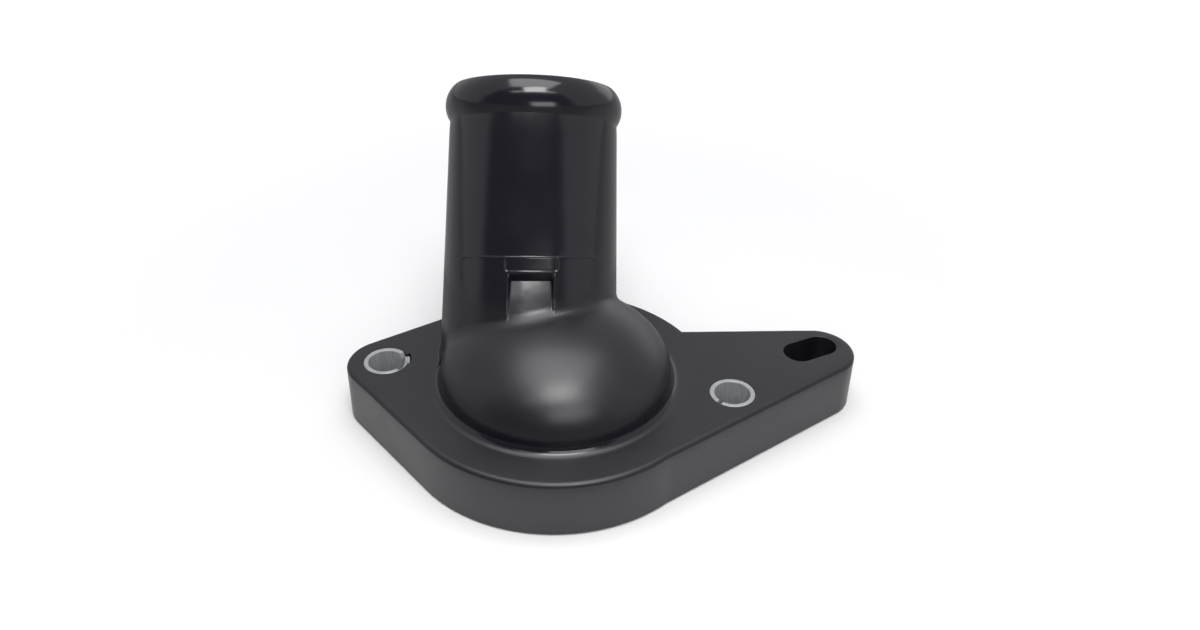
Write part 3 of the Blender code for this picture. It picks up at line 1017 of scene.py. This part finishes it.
    def groove_form(self) -> bpy.types.Object:
        """The seal's groove in the sealing face.

        Returns:
            The cutter.
        """
        inner, outer, depth = self.groove
        radius = [inner, outer, outer, inner]
        height = [-self.overshoot, -self.overshoot, depth, depth]
        rows = turned(radius, height, self.round_columns)
        return lofted("groove_form", rows, self.datum, ring=True)

    def slot_form(self) -> bpy.types.Object:
        """The adjusting slot, with its top edge broken by a quarter circle.

        Returns:
            The cutter.
        """
        low, top = -self.overshoot, self.form.thickness
        turn = np.linspace(0.0, QUARTER_TURN, self.slot_rows)
        flare, drop = self.edge_break * (1.0 - np.cos(turn)), self.edge_break * (1.0 - np.sin(turn))
        grows = np.concatenate([[0.0], flare, [self.edge_break * self.slot_flare]])
        height = np.concatenate([[low], top - drop, [top + self.overshoot]])
        length, width = self.slot_size
        plans = [
            stadium(self.slot_centre, length + 2 * grow, width + 2 * grow, self.slot_angle)
            for grow in grows
        ]
        rows = np.array([at_height(plan, z) for plan, z in zip(plans, height)])
        return lofted("slot_form", rows, self.datum)

    def sleeve_hole_form(self, side: int) -> bpy.types.Object:
        """The hole that holds a sleeve.

        Args:
            side: -1 for the left sleeve and 1 for the right one.

        Returns:
            The cutter.
        """
        plan = circle((side * self.datum.half_pitch, 0.0), self.hole_radius, self.hole_columns)
        rows = prism_rows(plan, -self.overshoot, self.form.thickness + self.overshoot)
        return lofted(f"sleeve_hole_form_{side}", rows, self.datum)

    def ear_relief_form(self) -> bpy.types.Object:
        """The shallow recess in the plate round the left sleeve's ear.

        Returns:
            The cutter.
        """
        middle, half_width, reach, depth = self.ear_relief
        centre = (-self.datum.half_pitch, 0.0)
        start, end = middle - half_width, middle + half_width
        inner_reach = self.hole_radius - self.edge_break
        outer = arc_points(centre, reach, start, end, self.relief_steps)
        inner = arc_points(centre, inner_reach, end, start, self.relief_steps)
        top = self.form.thickness
        rows = prism_rows(np.concatenate([outer, inner]), top - depth, top + self.overshoot)
        return lofted("ear_relief_form", rows, self.datum)

    def core_outline(self, inset: float) -> np.ndarray:
        """The slotted ear's plan with a wall left round it, closed at the bolt and the dome axis.

        Args:
            inset: the wall's width.

        Returns:
            Plan points.
        """
        outline = self.form.outline
        back, front = outline.ear_edge_angle(1), outline.ear_edge_angle(-1)
        bolt = np.array([self.datum.half_pitch, 0.0])
        normal = np.array([math.cos(front), math.sin(front)])
        reach = normal @ (np.array(outline.slot_ear) - bolt) + outline.slot_ear_radius - inset
        corner = outline.corner(1, inset)
        radius = outline.radius - inset
        end = [radius * math.cos(corner), radius * math.sin(corner)]
        nose_radius = outline.slot_ear_radius - inset
        nose = arc_points(outline.slot_ear, nose_radius, front, back, self.nose_steps)
        return np.concatenate([[[0.0, 0.0], bolt, bolt + normal * reach], nose, [end]])

    def pocket_form(self) -> bpy.types.Object:
        """The pockets under the slotted ear, round its bosses, the seal's land and the rib.

        Returns:
            The cutter.
        """
        draft = self.core_depth * math.tan(self.core_draft)
        levels = ((0.0, -self.overshoot), (0.0, 0.0), (draft, self.core_depth))
        rows = [at_height(self.core_outline(self.core_wall + narrower), z) for narrower, z in levels]
        core = lofted("pocket_form", np.array(rows), self.datum)
        boss = self.hole_radius + self.core_wall
        land = circle((0.0, 0.0), self.groove[1] + self.seal_land, self.land_columns)
        bolt = circle((self.datum.half_pitch, 0.0), boss, self.boss_columns)
        length, width = (size + 2 * self.core_wall for size in self.slot_size)
        along = np.array([math.cos(self.rib_angle), math.sin(self.rib_angle)])
        across = np.array([-along[1], along[0]]) * self.rib_thickness / 2
        end = along * math.hypot(*self.form.outline.slot_ear)
        kept = {
            "seal_land_form": land,
            "bolt_boss_form": bolt,
            "slot_boss_form": stadium(self.slot_centre, length, width, self.slot_angle),
            "rib_form": np.array([-across, end - across, end + across, across]),
        }
        low, high = -2 * self.overshoot, self.core_depth + self.overshoot
        cut_away(core, [lofted(n, prism_rows(p, low, high), self.datum) for n, p in kept.items()])
        return core

    def skin(self) -> bpy.types.Object:
        """The closed outer skin: rings from the tip to the sealing face, with flat ends.

        Returns:
            The uncut body.
        """
        place, angle, crease = self.columns()
        rows = np.concatenate(
            [self.tube_rows(angle, crease), self.outside_rows(place, angle, crease)]
        )
        LOG.info("housing skin: %d rows by %d columns", *rows.shape[:2])
        return lofted("housing_body", rows, self.datum)

    def build(self) -> bpy.types.Object:
        """The moulding: its skin with every opening cut out.

        Returns:
            The finished piece.
        """
        body = self.skin()
        openings = [
            self.inlet_form(),
            self.bore_form(),
            self.groove_form(),
            self.slot_form(),
            self.sleeve_hole_form(-1),
            self.sleeve_hole_form(1),
            self.ear_relief_form(),
            self.pocket_form(),
        ]
        cut_away(body, openings)
        body.data.set_sharp_from_angle(angle=self.sharp_angle)
        LOG.info("housing: %d faces", len(body.data.polygons))
        return body


@dataclass(frozen=True)
class StripEar:
    """A short ear on a sleeve's top, pushed outwards between two lowered lengths of the strip.

    Angles are plan angles about the sleeve's own axis.
    """

    angle: float = math.radians(17.0)
    half_width: float = math.radians(14.0)
    dip_angle: float = math.radians(8.5)
    dip_half_width: float = math.radians(44.5)
    dip: float = 0.9 * MM
    push: float = 0.3 * MM
    soft: float = math.radians(4.0)

    def window(self, turn: np.ndarray, middle: float, half_width: float) -> np.ndarray:
        """1 inside a range of angles and 0 outside it, with short ramps."""
        apart = np.abs(np.mod(turn - middle + HALF_TURN, FULL_TURN) - HALF_TURN)
        return np.clip((half_width - apart) / self.soft + 0.5, 0.0, 1.0)

    def shape(self, turn: np.ndarray) -> tuple[np.ndarray, np.ndarray]:
        """Move the strip outwards at the ear and lower its top on both sides of it.

        Args:
            turn: plan angles about the sleeve's axis.

        Returns:
            How far the strip is pushed outwards, and how far its top is lowered.
        """
        ear = self.window(turn, self.angle, self.half_width)
        low = self.window(turn, self.dip_angle, self.dip_half_width)
        return self.push * ear, self.dip * np.maximum(low - ear, 0.0)


@dataclass(frozen=True)
class Sleeve:
    """A compression limiter rolled from steel strip, with an open seam and broken edges."""

    name: str
    side: int
    slit_angle: float
    ear: StripEar
    radius: float = 4.5 * MM
    wall: float = 1.0 * MM
    slit: float = 0.9 * MM
    edge: float = 0.22 * MM
    steps: int = 120
    edge_steps: int = 5
    cap_inset: float = 1.6
    sharp_angle: float = math.radians(50.0)

    def strip_outline(self, inset: np.ndarray) -> tuple[np.ndarray, np.ndarray]:
        """The C-shaped strip's outline: its outer arc, and its inner arc back.

        Args:
            inset: distance inwards at each height.

        Returns:
            Angle and reach from the sleeve's axis, one row for each inset.
        """
        inset = np.asarray(inset)[:, None]
        outer, inner = self.radius - inset, self.radius - self.wall + inset
        half = self.slit / 2 + inset
        outer_gap, inner_gap = np.arcsin(half / outer), np.arcsin(half / inner)
        share = np.linspace(0.0, 1.0, self.steps)[None, :]
        outer_turn = outer_gap + (FULL_TURN - 2 * outer_gap) * share
        inner_turn = inner_gap + (FULL_TURN - 2 * inner_gap) * share[:, ::-1]
        turn = np.concatenate([outer_turn, inner_turn], axis=1) + self.slit_angle
        reach = np.concatenate([outer + 0 * outer_turn, inner + 0 * inner_turn], axis=1)
        return turn, reach

    def build(self, datum: Datum) -> bpy.types.Object:
        """The sleeve in its hole, as long as the plate is thick.

        Args:
            datum: where the dome axis stands.

        Returns:
            The finished piece.
        """
        turn = np.linspace(0.0, QUARTER_TURN, self.edge_steps)
        foot = self.edge * (1.0 - np.sin(turn))
        cap = [self.edge * self.cap_inset]
        inset = np.concatenate([cap, foot, foot[::-1], cap])
        rise = self.edge * (1.0 - np.cos(turn))
        top = datum.thickness
        height = np.concatenate([[0.0], rise, top - rise[::-1], [top]])
        angle, reach = self.strip_outline(inset)
        push, dip = self.ear.shape(angle)
        level = height[:, None] - dip * (height[:, None] > top / 2)
        x = (reach + push) * np.cos(angle) + self.side * datum.half_pitch
        y = (reach + push) * np.sin(angle)
        piece = lofted(self.name, np.stack([x, y, level], axis=-1), datum)
        piece.data.set_sharp_from_angle(angle=self.sharp_angle)
        LOG.info("%s: %d faces", self.name, len(piece.data.polygons))
        return piece


@dataclass(frozen=True)
class FaceSeal:
    """The moulded rubber ring, whose section is a rounded rectangle."""

    radius: float = 25.4 * MM
    width: float = 3.4 * MM
    height: float = 2.2 * MM
    recess: float = 0.1 * MM
    squareness: float = 0.45
    section_points: int = 72
    first_turn: float = 0.01
    columns: int = 192

    def build(self, datum: Datum) -> bpy.types.Object:
        """The ring in its groove. A power of the sine and the cosine squares the section up.

        Args:
            datum: where the dome axis stands.

        Returns:
            The finished piece.
        """
        turn = np.linspace(0.0, FULL_TURN, self.section_points, endpoint=False) + self.first_turn
        across, up = (
            np.sign(wave) * np.abs(wave) ** self.squareness for wave in (np.cos(turn), np.sin(turn))
        )
        radius = self.radius + self.width / 2 * across
        height = self.recess + self.height / 2 + self.height / 2 * up
        piece = lofted("face_seal_ring", turned(radius, height, self.columns), datum, ring=True)
        LOG.info("face seal: %d faces", len(piece.data.polygons))
        return piece


class Slot(Enum):
    """The record's material slots."""

    PLASTIC = "black_moulded_plastic"
    ZINC = "zinc_plated_steel"
    RUBBER = "seal_rubber"


class NodeTools:
    """Short forms for adding and joining a material's nodes."""

    def __init__(self, tree: bpy.types.NodeTree) -> None:
        """Work in one node tree."""
        self.tree = tree

    def add(self, kind: str, **settings: object) -> bpy.types.Node:
        """Add a node.

        Args:
            kind: the node's type.
            settings: its properties.

        Returns:
            The node.
        """
        node = self.tree.nodes.new(kind)
        for key, value in settings.items():
            setattr(node, key, value)
        return node

    def feed(self, node: bpy.types.Node, values: dict) -> None:
        """Link sockets to a node's inputs, or give the inputs plain values.

        Args:
            node: the node.
            values: a socket or a plain value for each input's name or number.
        """
        for name, value in values.items():
            if isinstance(value, bpy.types.NodeSocket):
                self.tree.links.new(value, node.inputs[name])
            else:
                node.inputs[name].default_value = value

    def noise(self, vector: bpy.types.NodeSocket, scale: object, detail: float) -> bpy.types.NodeSocket:
        """Noise of about 0 to 1.

        Args:
            vector: place on the piece.
            scale: cells to the metre, a socket or a number.
            detail: octaves of finer noise.

        Returns:
            The value's socket.
        """
        node = self.add("ShaderNodeTexNoise")
        self.feed(node, {"Vector": vector, "Scale": scale, "Detail": detail})
        return node.outputs["Fac"]

    def span(self, value: bpy.types.NodeSocket, source: tuple, target: tuple) -> bpy.types.NodeSocket:
        """Map one range smoothly onto another, held at both ends.

        Args:
            value: what is mapped.
            source: the range that it comes from.
            target: the range that it goes to.

        Returns:
            The mapped value's socket.
        """
        node = self.add("ShaderNodeMapRange", interpolation_type="SMOOTHSTEP")
        names = ("Value", "From Min", "From Max", "To Min", "To Max")
        self.feed(node, dict(zip(names, (value, *source, *target))))
        return node.outputs["Result"]

    def math(self, operation: str, first: object, second: object) -> bpy.types.NodeSocket:
        """A sum or a product of two sockets or numbers.

        Args:
            operation: the node's operation.
            first: the first socket or number.
            second: the second socket or number.

        Returns:
            The result's socket.
        """
        node = self.add("ShaderNodeMath", operation=operation)
        self.feed(node, {0: first, 1: second})
        return node.outputs[0]

    def shade(self, factor: object, dark: object, light: object) -> bpy.types.NodeSocket:
        """A colour between two.

        Args:
            factor: 0 for the dark colour and 1 for the light one.
            dark: the dark colour.
            light: the light colour.

        Returns:
            The colour's socket.
        """
        node = self.add("ShaderNodeMix", data_type="RGBA")
        self.feed(node, {"Factor": factor, "A": dark, "B": light})
        return node.outputs["Result"]


@dataclass(frozen=True)
class SurfaceGrain:
    """The grain and blotches that every finish shares, as one node group with its own inputs."""

    name: str = "surface_grain"
    inputs: tuple[tuple[str, str], ...] = (
        ("Vector", "Vector"),
        ("Grain Scale", "Float"),
        ("Blotch Scale", "Float"),
        ("Dark", "Color"),
        ("Light", "Color"),
        ("Roughness", "Float"),
    )
    outputs: tuple[tuple[str, str], ...] = (
        ("Color", "Color"),
        ("Roughness", "Float"),
        ("Height", "Float"),
    )
    grain_detail: float = 2.0
    blotch_detail: float = 3.0
    shade_span: tuple[float, float] = (0.1, 0.45)
    rough_span: tuple[float, float] = (0.3, 0.7)
    rough_spread: tuple[float, float] = (0.88, 1.12)

    def group(self) -> bpy.types.NodeTree:
        """The group, which is built once. Grain times blotches picks the colour.

        Returns:
            The node group.
        """
        if self.name in bpy.data.node_groups:
            return bpy.data.node_groups[self.name]
        group = bpy.data.node_groups.new(self.name, "ShaderNodeTree")
        for side, sockets in (("INPUT", self.inputs), ("OUTPUT", self.outputs)):
            for name, kind in sockets:
                group.interface.new_socket(name, in_out=side, socket_type=f"NodeSocket{kind}")
        tools = NodeTools(group)
        given = tools.add("NodeGroupInput").outputs
        grain = tools.noise(given["Vector"], given["Grain Scale"], self.grain_detail)
        blotch = tools.noise(given["Vector"], given["Blotch Scale"], self.blotch_detail)
        factor = tools.span(tools.math("MULTIPLY", grain, blotch), self.shade_span, (0.0, 1.0))
        spread = tools.span(blotch, self.rough_span, self.rough_spread)
        results = {
            "Color": tools.shade(factor, given["Dark"], given["Light"]),
            "Roughness": tools.math("MULTIPLY", spread, given["Roughness"]),
            "Height": grain,
        }
        tools.feed(tools.add("NodeGroupOutput"), results)
        return group


@dataclass(frozen=True)
class Finish:
    """The settings that every finish has, and how the shared grain joins the shader."""

    dark: tuple[float, float, float]
    light: tuple[float, float, float]
    roughness: float
    metallic: float = 0.0
    specular: float = 0.5
    grain_size: float = 0.3 * MM
    grain_height: float = 0.003 * MM
    blotch_size: float = 9.0 * MM

    def grain_place(self, tools: NodeTools, place: bpy.types.NodeSocket) -> bpy.types.NodeSocket:
        """The place that the grain reads: the piece's own."""
        return place

    def worked(self, tools: NodeTools, place: bpy.types.NodeSocket, surface: tuple) -> tuple:
        """Roughness and height as the grain gives them."""
        return surface

    def build(self, name: str) -> bpy.types.Material:
        """Place the shared grain in a material with this finish's values.

        Args:
            name: the material's name.

        Returns:
            The material.
        """
        material = bpy.data.materials.new(name)
        material.use_nodes = True
        tools = NodeTools(material.node_tree)
        place = tools.add("ShaderNodeTexCoord").outputs["Object"]
        grain = tools.add("ShaderNodeGroup", node_tree=SurfaceGrain().group())
        values = {
            "Vector": self.grain_place(tools, place),
            "Grain Scale": 1.0 / self.grain_size,
            "Blotch Scale": 1.0 / self.blotch_size,
            "Dark": (*self.dark, 1.0),
            "Light": (*self.light, 1.0),
            "Roughness": self.roughness,
        }
        tools.feed(grain, values)
        surface = grain.outputs["Roughness"], grain.outputs["Height"]
        rough, height = self.worked(tools, place, surface)
        bump = tools.add("ShaderNodeBump")
        tools.feed(bump, {"Strength": 1.0, "Distance": self.grain_height, "Height": height})
        looks = {
            "Metallic": self.metallic,
            "Specular IOR Level": self.specular,
            "Base Color": grain.outputs["Color"],
            "Roughness": rough,
            "Normal": bump.outputs["Normal"],
        }
        tools.feed(material.node_tree.nodes["Principled BSDF"], looks)
        return material


@dataclass(frozen=True)
class MouldedPlastic(Finish):
    """Black nylon: satin on the flange, softly polished on the dome, polished on the spigot."""

    satin_added: float = 0.26
    dome_added: float = 0.19
    satin_edge: tuple[float, float] = (12.05 * MM, 12.5 * MM)
    dome_foot: tuple[float, float] = (13.5 * MM, 17.0 * MM)
    dome_top: tuple[float, float] = (26.5 * MM, 31.0 * MM)
    satin_grain: float = 3.0
    peel_size: float = 2.0 * MM
    peel_detail: float = 1.0
    peel_gain: float = 4.0

    def worked(self, tools: NodeTools, place: bpy.types.NodeSocket, surface: tuple) -> tuple:
        """Smoother on each step up from the plate, with orange peel all over.

        Args:
            tools: the material's node tools.
            place: place on the piece.
            surface: roughness and height of the grain.

        Returns:
            Roughness and height.
        """
        rough, grain = surface
        parts = tools.add("ShaderNodeSeparateXYZ")
        tools.feed(parts, {"Vector": place})
        level = parts.outputs["Z"]
        satin = tools.span(level, self.satin_edge, (self.satin_added, 0.0))
        above_foot = tools.span(level, self.dome_foot, (0.0, self.dome_added))
        dome = tools.math("MULTIPLY", above_foot, tools.span(level, self.dome_top, (1.0, 0.0)))
        rough = tools.math("ADD", tools.math("ADD", rough, satin), dome)
        gain = tools.span(level, self.satin_edge, (self.satin_grain, 1.0))
        peel = tools.noise(place, 1.0 / self.peel_size, self.peel_detail)
        peel = tools.math("MULTIPLY", peel, self.peel_gain)
        return rough, tools.math("ADD", tools.math("MULTIPLY", grain, gain), peel)


@dataclass(frozen=True)
class RolledZinc(Finish):
    """Dull zinc on rolled strip, with streaks along the sleeve."""

    streak_stretch: float = 0.12

    def grain_place(self, tools: NodeTools, place: bpy.types.NodeSocket) -> bpy.types.NodeSocket:
        """The piece's own place, drawn out along the sleeve.

        Args:
            tools: the material's node tools.
            place: place on the piece.

        Returns:
            The socket that the grain reads.
        """
        stretch = tools.add("ShaderNodeVectorMath", operation="MULTIPLY")
        tools.feed(stretch, {0: place, 1: (1.0, 1.0, self.streak_stretch)})
        return stretch.outputs["Vector"]


@dataclass(frozen=True)
class PhotoCamera:
    """The camera that was fitted to the photo, about the dome axis on the sealing face.

    The angles are in degrees, lengths in millimetres, and the datum's place in the picture is in
    pixels of the photo's frame.
    """

    focal_pixels: float = 1000.0
    pitch: float = 33.7464
    yaw: float = -6.4112
    roll: float = -1.3483
    datum_pixel: tuple[float, float] = (556.690, 422.615)
    frame_pixels: tuple[int, int] = (1200, 630)
    depth: float = 206.4028
    sensor: float = 36.0
    clip: tuple[float, float] = (0.01, 20.0)

    def axes(self) -> tuple[Vector, Vector, Vector]:
        """The camera's own directions.

        Returns:
            Right, down and forward.
        """
        pitch, yaw, roll = (math.radians(a) for a in (self.pitch, self.yaw, self.roll))
        level = Vector((math.cos(yaw), -math.sin(yaw), 0.0))
        ahead, over = math.cos(pitch), math.sin(pitch)
        forward = Vector((math.sin(yaw) * ahead, math.cos(yaw) * ahead, -over))
        steep = forward.cross(level)
        right = level * math.cos(roll) + steep * math.sin(roll)
        down = steep * math.cos(roll) - level * math.sin(roll)
        return right, down, forward

    def build(self, datum: Datum) -> bpy.types.Object:
        """Create the camera and make it the scene's own.

        Args:
            datum: where the dome axis stands.

        Returns:
            The camera.
        """
        right, down, forward = self.axes()
        across, below = self.frame_pixels[0] / 2, self.frame_pixels[1] / 2
        u = (self.datum_pixel[0] - across) / self.focal_pixels
        v = (self.datum_pixel[1] - below) / self.focal_pixels
        reach = self.depth * MM
        offset = right * u * reach + down * v * reach + forward * reach
        place = Vector(datum.origin) - offset
        data = bpy.data.cameras.new("photo_camera")
        data.sensor_width = self.sensor
        data.lens = self.focal_pixels * self.sensor / self.frame_pixels[0]
        data.clip_start, data.clip_end = self.clip
        camera = linked("photo_camera", data)
        turn = Matrix((right, -down, -forward)).transposed()
        camera.matrix_world = Matrix.Translation(place) @ turn.to_4x4()
        bpy.context.scene.camera = camera
        return camera


@dataclass(frozen=True)
class SoftBox:
    """A rectangular lamp that looks at the part.

    Its direction is given by elevation and azimuth in degrees, 0 azimuth being the camera's side
    and positive towards +X.
    """

    name: str
    elevation: float
    azimuth: float
    distance: float
    width: float
    height: float
    radiance: float

    def build(self, target: Vector) -> bpy.types.Object:
        """Create the lamp with the power that gives its radiance.

        Args:
            target: where the lamp looks.

        Returns:
            The lamp.
        """
        data = bpy.data.lights.new(self.name, "AREA")
        data.shape = "RECTANGLE"
        data.size, data.size_y = self.width, self.height
        data.energy = self.radiance * math.pi * self.width * self.height
        up, round_ = math.radians(self.elevation), math.radians(self.azimuth)
        level = math.cos(up)
        direction = Vector((level * math.sin(round_), -level * math.cos(round_), math.sin(up)))
        lamp = linked(self.name, data)
        lamp.location = target + direction * self.distance
        lamp.rotation_euler = direction.to_track_quat("Z", "Y").to_euler()
        return lamp


@dataclass(frozen=True)
class Studio:
    """A plain pale floor, the lamps, a dark surround for reflections and the world."""

    floor_size: float = 3.0
    floor_level: float = -0.2 * MM
    floor_colour: float = 0.9
    matt_roughness: float = 0.9
    matt_specular: float = 0.1
    glow_reach: tuple[float, float] = (0.09, 0.34)
    glow_level: float = 0.4
    patch_margin: float = 16.0 * MM
    surround_level: float = -0.1 * MM
    surround_colours: tuple[float, float] = (0.22, 0.36)
    surround_reach: tuple[float, float] = (-60.0 * MM, 20.0 * MM)
    aim_height: float = 20.0 * MM
    world_level: float = 0.5
    world_tint: tuple[float, float, float] = (0.96, 0.965, 1.0)
    front_level: float = 0.12
    front_reach: tuple[float, float] = (0.42, 0.58)
    front_tilt: float = math.radians(6.0)
    lamps: tuple[SoftBox, ...] = (
        SoftBox("top_box", 88.0, 180.0, 0.9, 0.74, 0.60, 2.6),
        SoftBox("front_top_box", 65.0, 15.0, 0.9, 0.40, 0.28, 7.9),
        SoftBox("front_box", 57.0, 10.0, 0.9, 0.90, 0.12, 2.2),
        SoftBox("near_strip", 28.0, 22.0, 0.105, 0.062, 0.036, 2.5),
        SoftBox("back_right_box", 12.0, 155.0, 0.9, 0.70, 0.35, 0.5),
    )

    def plain_material(self, name: str, grey: float) -> bpy.types.Material:
        """A matt grey.

        Args:
            name: the material's name.
            grey: its grey level.

        Returns:
            The material.
        """
        material = bpy.data.materials.new(name)
        material.use_nodes = True
        looks = {
            "Base Color": (grey, grey, grey, 1.0),
            "Roughness": self.matt_roughness,
            "Specular IOR Level": self.matt_specular,
        }
        NodeTools(material.node_tree).feed(material.node_tree.nodes["Principled BSDF"], looks)
        return material

    @staticmethod
    def sheet(name: str, points: list, faces: list, material: bpy.types.Material) -> bpy.types.Object:
        """A flat sheet of the studio.

        Args:
            name: the sheet's name.
            points: its corners.
            faces: lists of point indices.
            material: its material.

        Returns:
            The sheet.
        """
        mesh = bpy.data.meshes.new(name)
        mesh.from_pydata(points, [], faces)
        mesh.materials.append(material)
        return linked(name, mesh)

    def build_floor(self) -> None:
        """A wide floor just under the part, evened out to white where the lamps fall off."""
        half = self.floor_size / 2
        corners = [
            (x * half, y * half, self.floor_level) for x, y in ((-1, -1), (1, -1), (1, 1), (-1, 1))
        ]
        material = self.plain_material("pale_floor", self.floor_colour)
        tools = NodeTools(material.node_tree)
        reach = tools.add("ShaderNodeVectorMath", operation="LENGTH")
        tools.feed(reach, {"Vector": tools.add("ShaderNodeTexCoord").outputs["Object"]})
        glow = tools.span(reach.outputs["Value"], self.glow_reach, (0.0, self.glow_level))
        looks = {"Emission Color": (1.0, 1.0, 1.0, 1.0), "Emission Strength": glow}
        tools.feed(material.node_tree.nodes["Principled BSDF"], looks)
        self.sheet("studio_floor", corners, [(0, 1, 2, 3)], material)

    def build_surround(self, outline: FlangeOutline, datum: Datum) -> None:
        """A dark cloth round the part's own patch of floor, seen only in reflections.

        Args:
            outline: the flange's plan, which the cloth's hole follows.
            datum: where the dome axis stands.
        """
        places = outline.even_places()
        inner = outline.at(places, -self.patch_margin) + datum.origin[:2]
        outer = inner / np.linalg.norm(inner, axis=-1, keepdims=True) * self.floor_size / 2
        points = at_height(np.concatenate([inner, outer]), self.surround_level)
        material = self.plain_material("dark_cloth", self.surround_colours[0])
        tools = NodeTools(material.node_tree)
        parts = tools.add("ShaderNodeSeparateXYZ")
        tools.feed(parts, {"Vector": tools.add("ShaderNodeTexCoord").outputs["Object"]})
        shade = tools.span(parts.outputs["Y"], self.surround_reach, self.surround_colours)
        tools.feed(material.node_tree.nodes["Principled BSDF"], {"Base Color": shade})
        faces = ring_faces(2, len(places)).tolist()
        cloth = self.sheet("dark_surround", points.tolist(), faces, material)
        cloth.visible_camera = False
        cloth.visible_diffuse = False
        cloth.visible_shadow = False

    def build_world(self) -> None:
        """A soft even world that is darker on the camera's side."""
        world = bpy.data.worlds.new("studio_world")
        world.use_nodes = True
        tools = NodeTools(world.node_tree)
        facing = tools.add("ShaderNodeVectorMath", operation="DOT_PRODUCT")
        front = (0.0, -math.cos(self.front_tilt), math.sin(self.front_tilt))
        tools.feed(facing, {0: tools.add("ShaderNodeTexCoord").outputs["Generated"], 1: front})
        levels = (self.world_level, self.front_level)
        strength = tools.span(facing.outputs["Value"], self.front_reach, levels)
        background = world.node_tree.nodes["Background"]
        tools.feed(background, {"Color": (*self.world_tint, 1.0), "Strength": strength})
        bpy.context.scene.world = world

    def build(self, outline: FlangeOutline, datum: Datum) -> None:
        """Set up the floor, the cloth, the world and the lamps.

        Args:
            outline: the flange's plan.
            datum: where the dome axis stands.
        """
        self.build_floor()
        self.build_surround(outline, datum)
        self.build_world()
        target = Vector(datum.origin) + Vector((0.0, 0.0, self.aim_height))
        for lamp in self.lamps:
            lamp.build(target)
        bpy.context.scene.view_settings.view_transform = "Standard"


FINISHES = {
    Slot.PLASTIC: MouldedPlastic(
        dark=(0.0052, 0.0050, 0.0090),
        light=(0.0078, 0.0074, 0.0122),
        roughness=0.16,
        specular=0.75,
    ),
    Slot.ZINC: RolledZinc(
        dark=(0.33, 0.34, 0.345),
        light=(0.46, 0.47, 0.48),
        roughness=0.38,
        metallic=0.2,
        grain_size=0.25 * MM,
        blotch_size=2.0 * MM,
    ),
    Slot.RUBBER: Finish(
        dark=(0.016, 0.016, 0.016),
        light=(0.028, 0.028, 0.028),
        roughness=0.7,
        grain_height=0.006 * MM,
    ),
}


def finish_piece(piece: bpy.types.Object, node: str, slot: Slot) -> None:
    """Give a piece its finish, and let it ride and replace its CAD node.

    Args:
        piece: the finished piece.
        node: the CAD node that it replaces.
        slot: the record's material slot.
    """
    piece.data.materials.clear()
    piece.data.materials.append(FINISHES[slot].build(slot.value))
    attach(piece, "root")
    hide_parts(node)


def clear_start_objects() -> None:
    """Remove the objects of Blender's own start file, if they are there."""
    for name in ("Cube", "Light", "Camera"):
        if name in bpy.data.objects:
            bpy.data.objects.remove(bpy.data.objects[name], do_unlink=True)


def main() -> None:
    """Build the pieces in order."""
    logging.basicConfig(level=logging.INFO, format="%(name)s: %(message)s")
    clear_start_objects()
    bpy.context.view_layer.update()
    datum = Datum.from_frame()
    form = HousingForm(FlangeOutline(datum.half_pitch), SpigotForm(), datum.thickness)
    finish_piece(Housing(datum, form).build(), "housing", Slot.PLASTIC)
    sleeves = (
        Sleeve("left_sleeve", side=-1, slit_angle=math.radians(42.0), ear=StripEar()),
        Sleeve(
            "right_sleeve",
            side=1,
            slit_angle=math.radians(234.0),
            ear=StripEar(dip=0.0, push=0.0),
        ),
    )
    for sleeve, node in zip(sleeves, ("limiter_left", "limiter_right")):
        finish_piece(sleeve.build(datum), node, Slot.ZINC)
    finish_piece(FaceSeal().build(datum), "face_seal", Slot.RUBBER)
    Studio().build(form.outline, datum)
    PhotoCamera().build(datum)


if __name__ == "__main__":
    main()
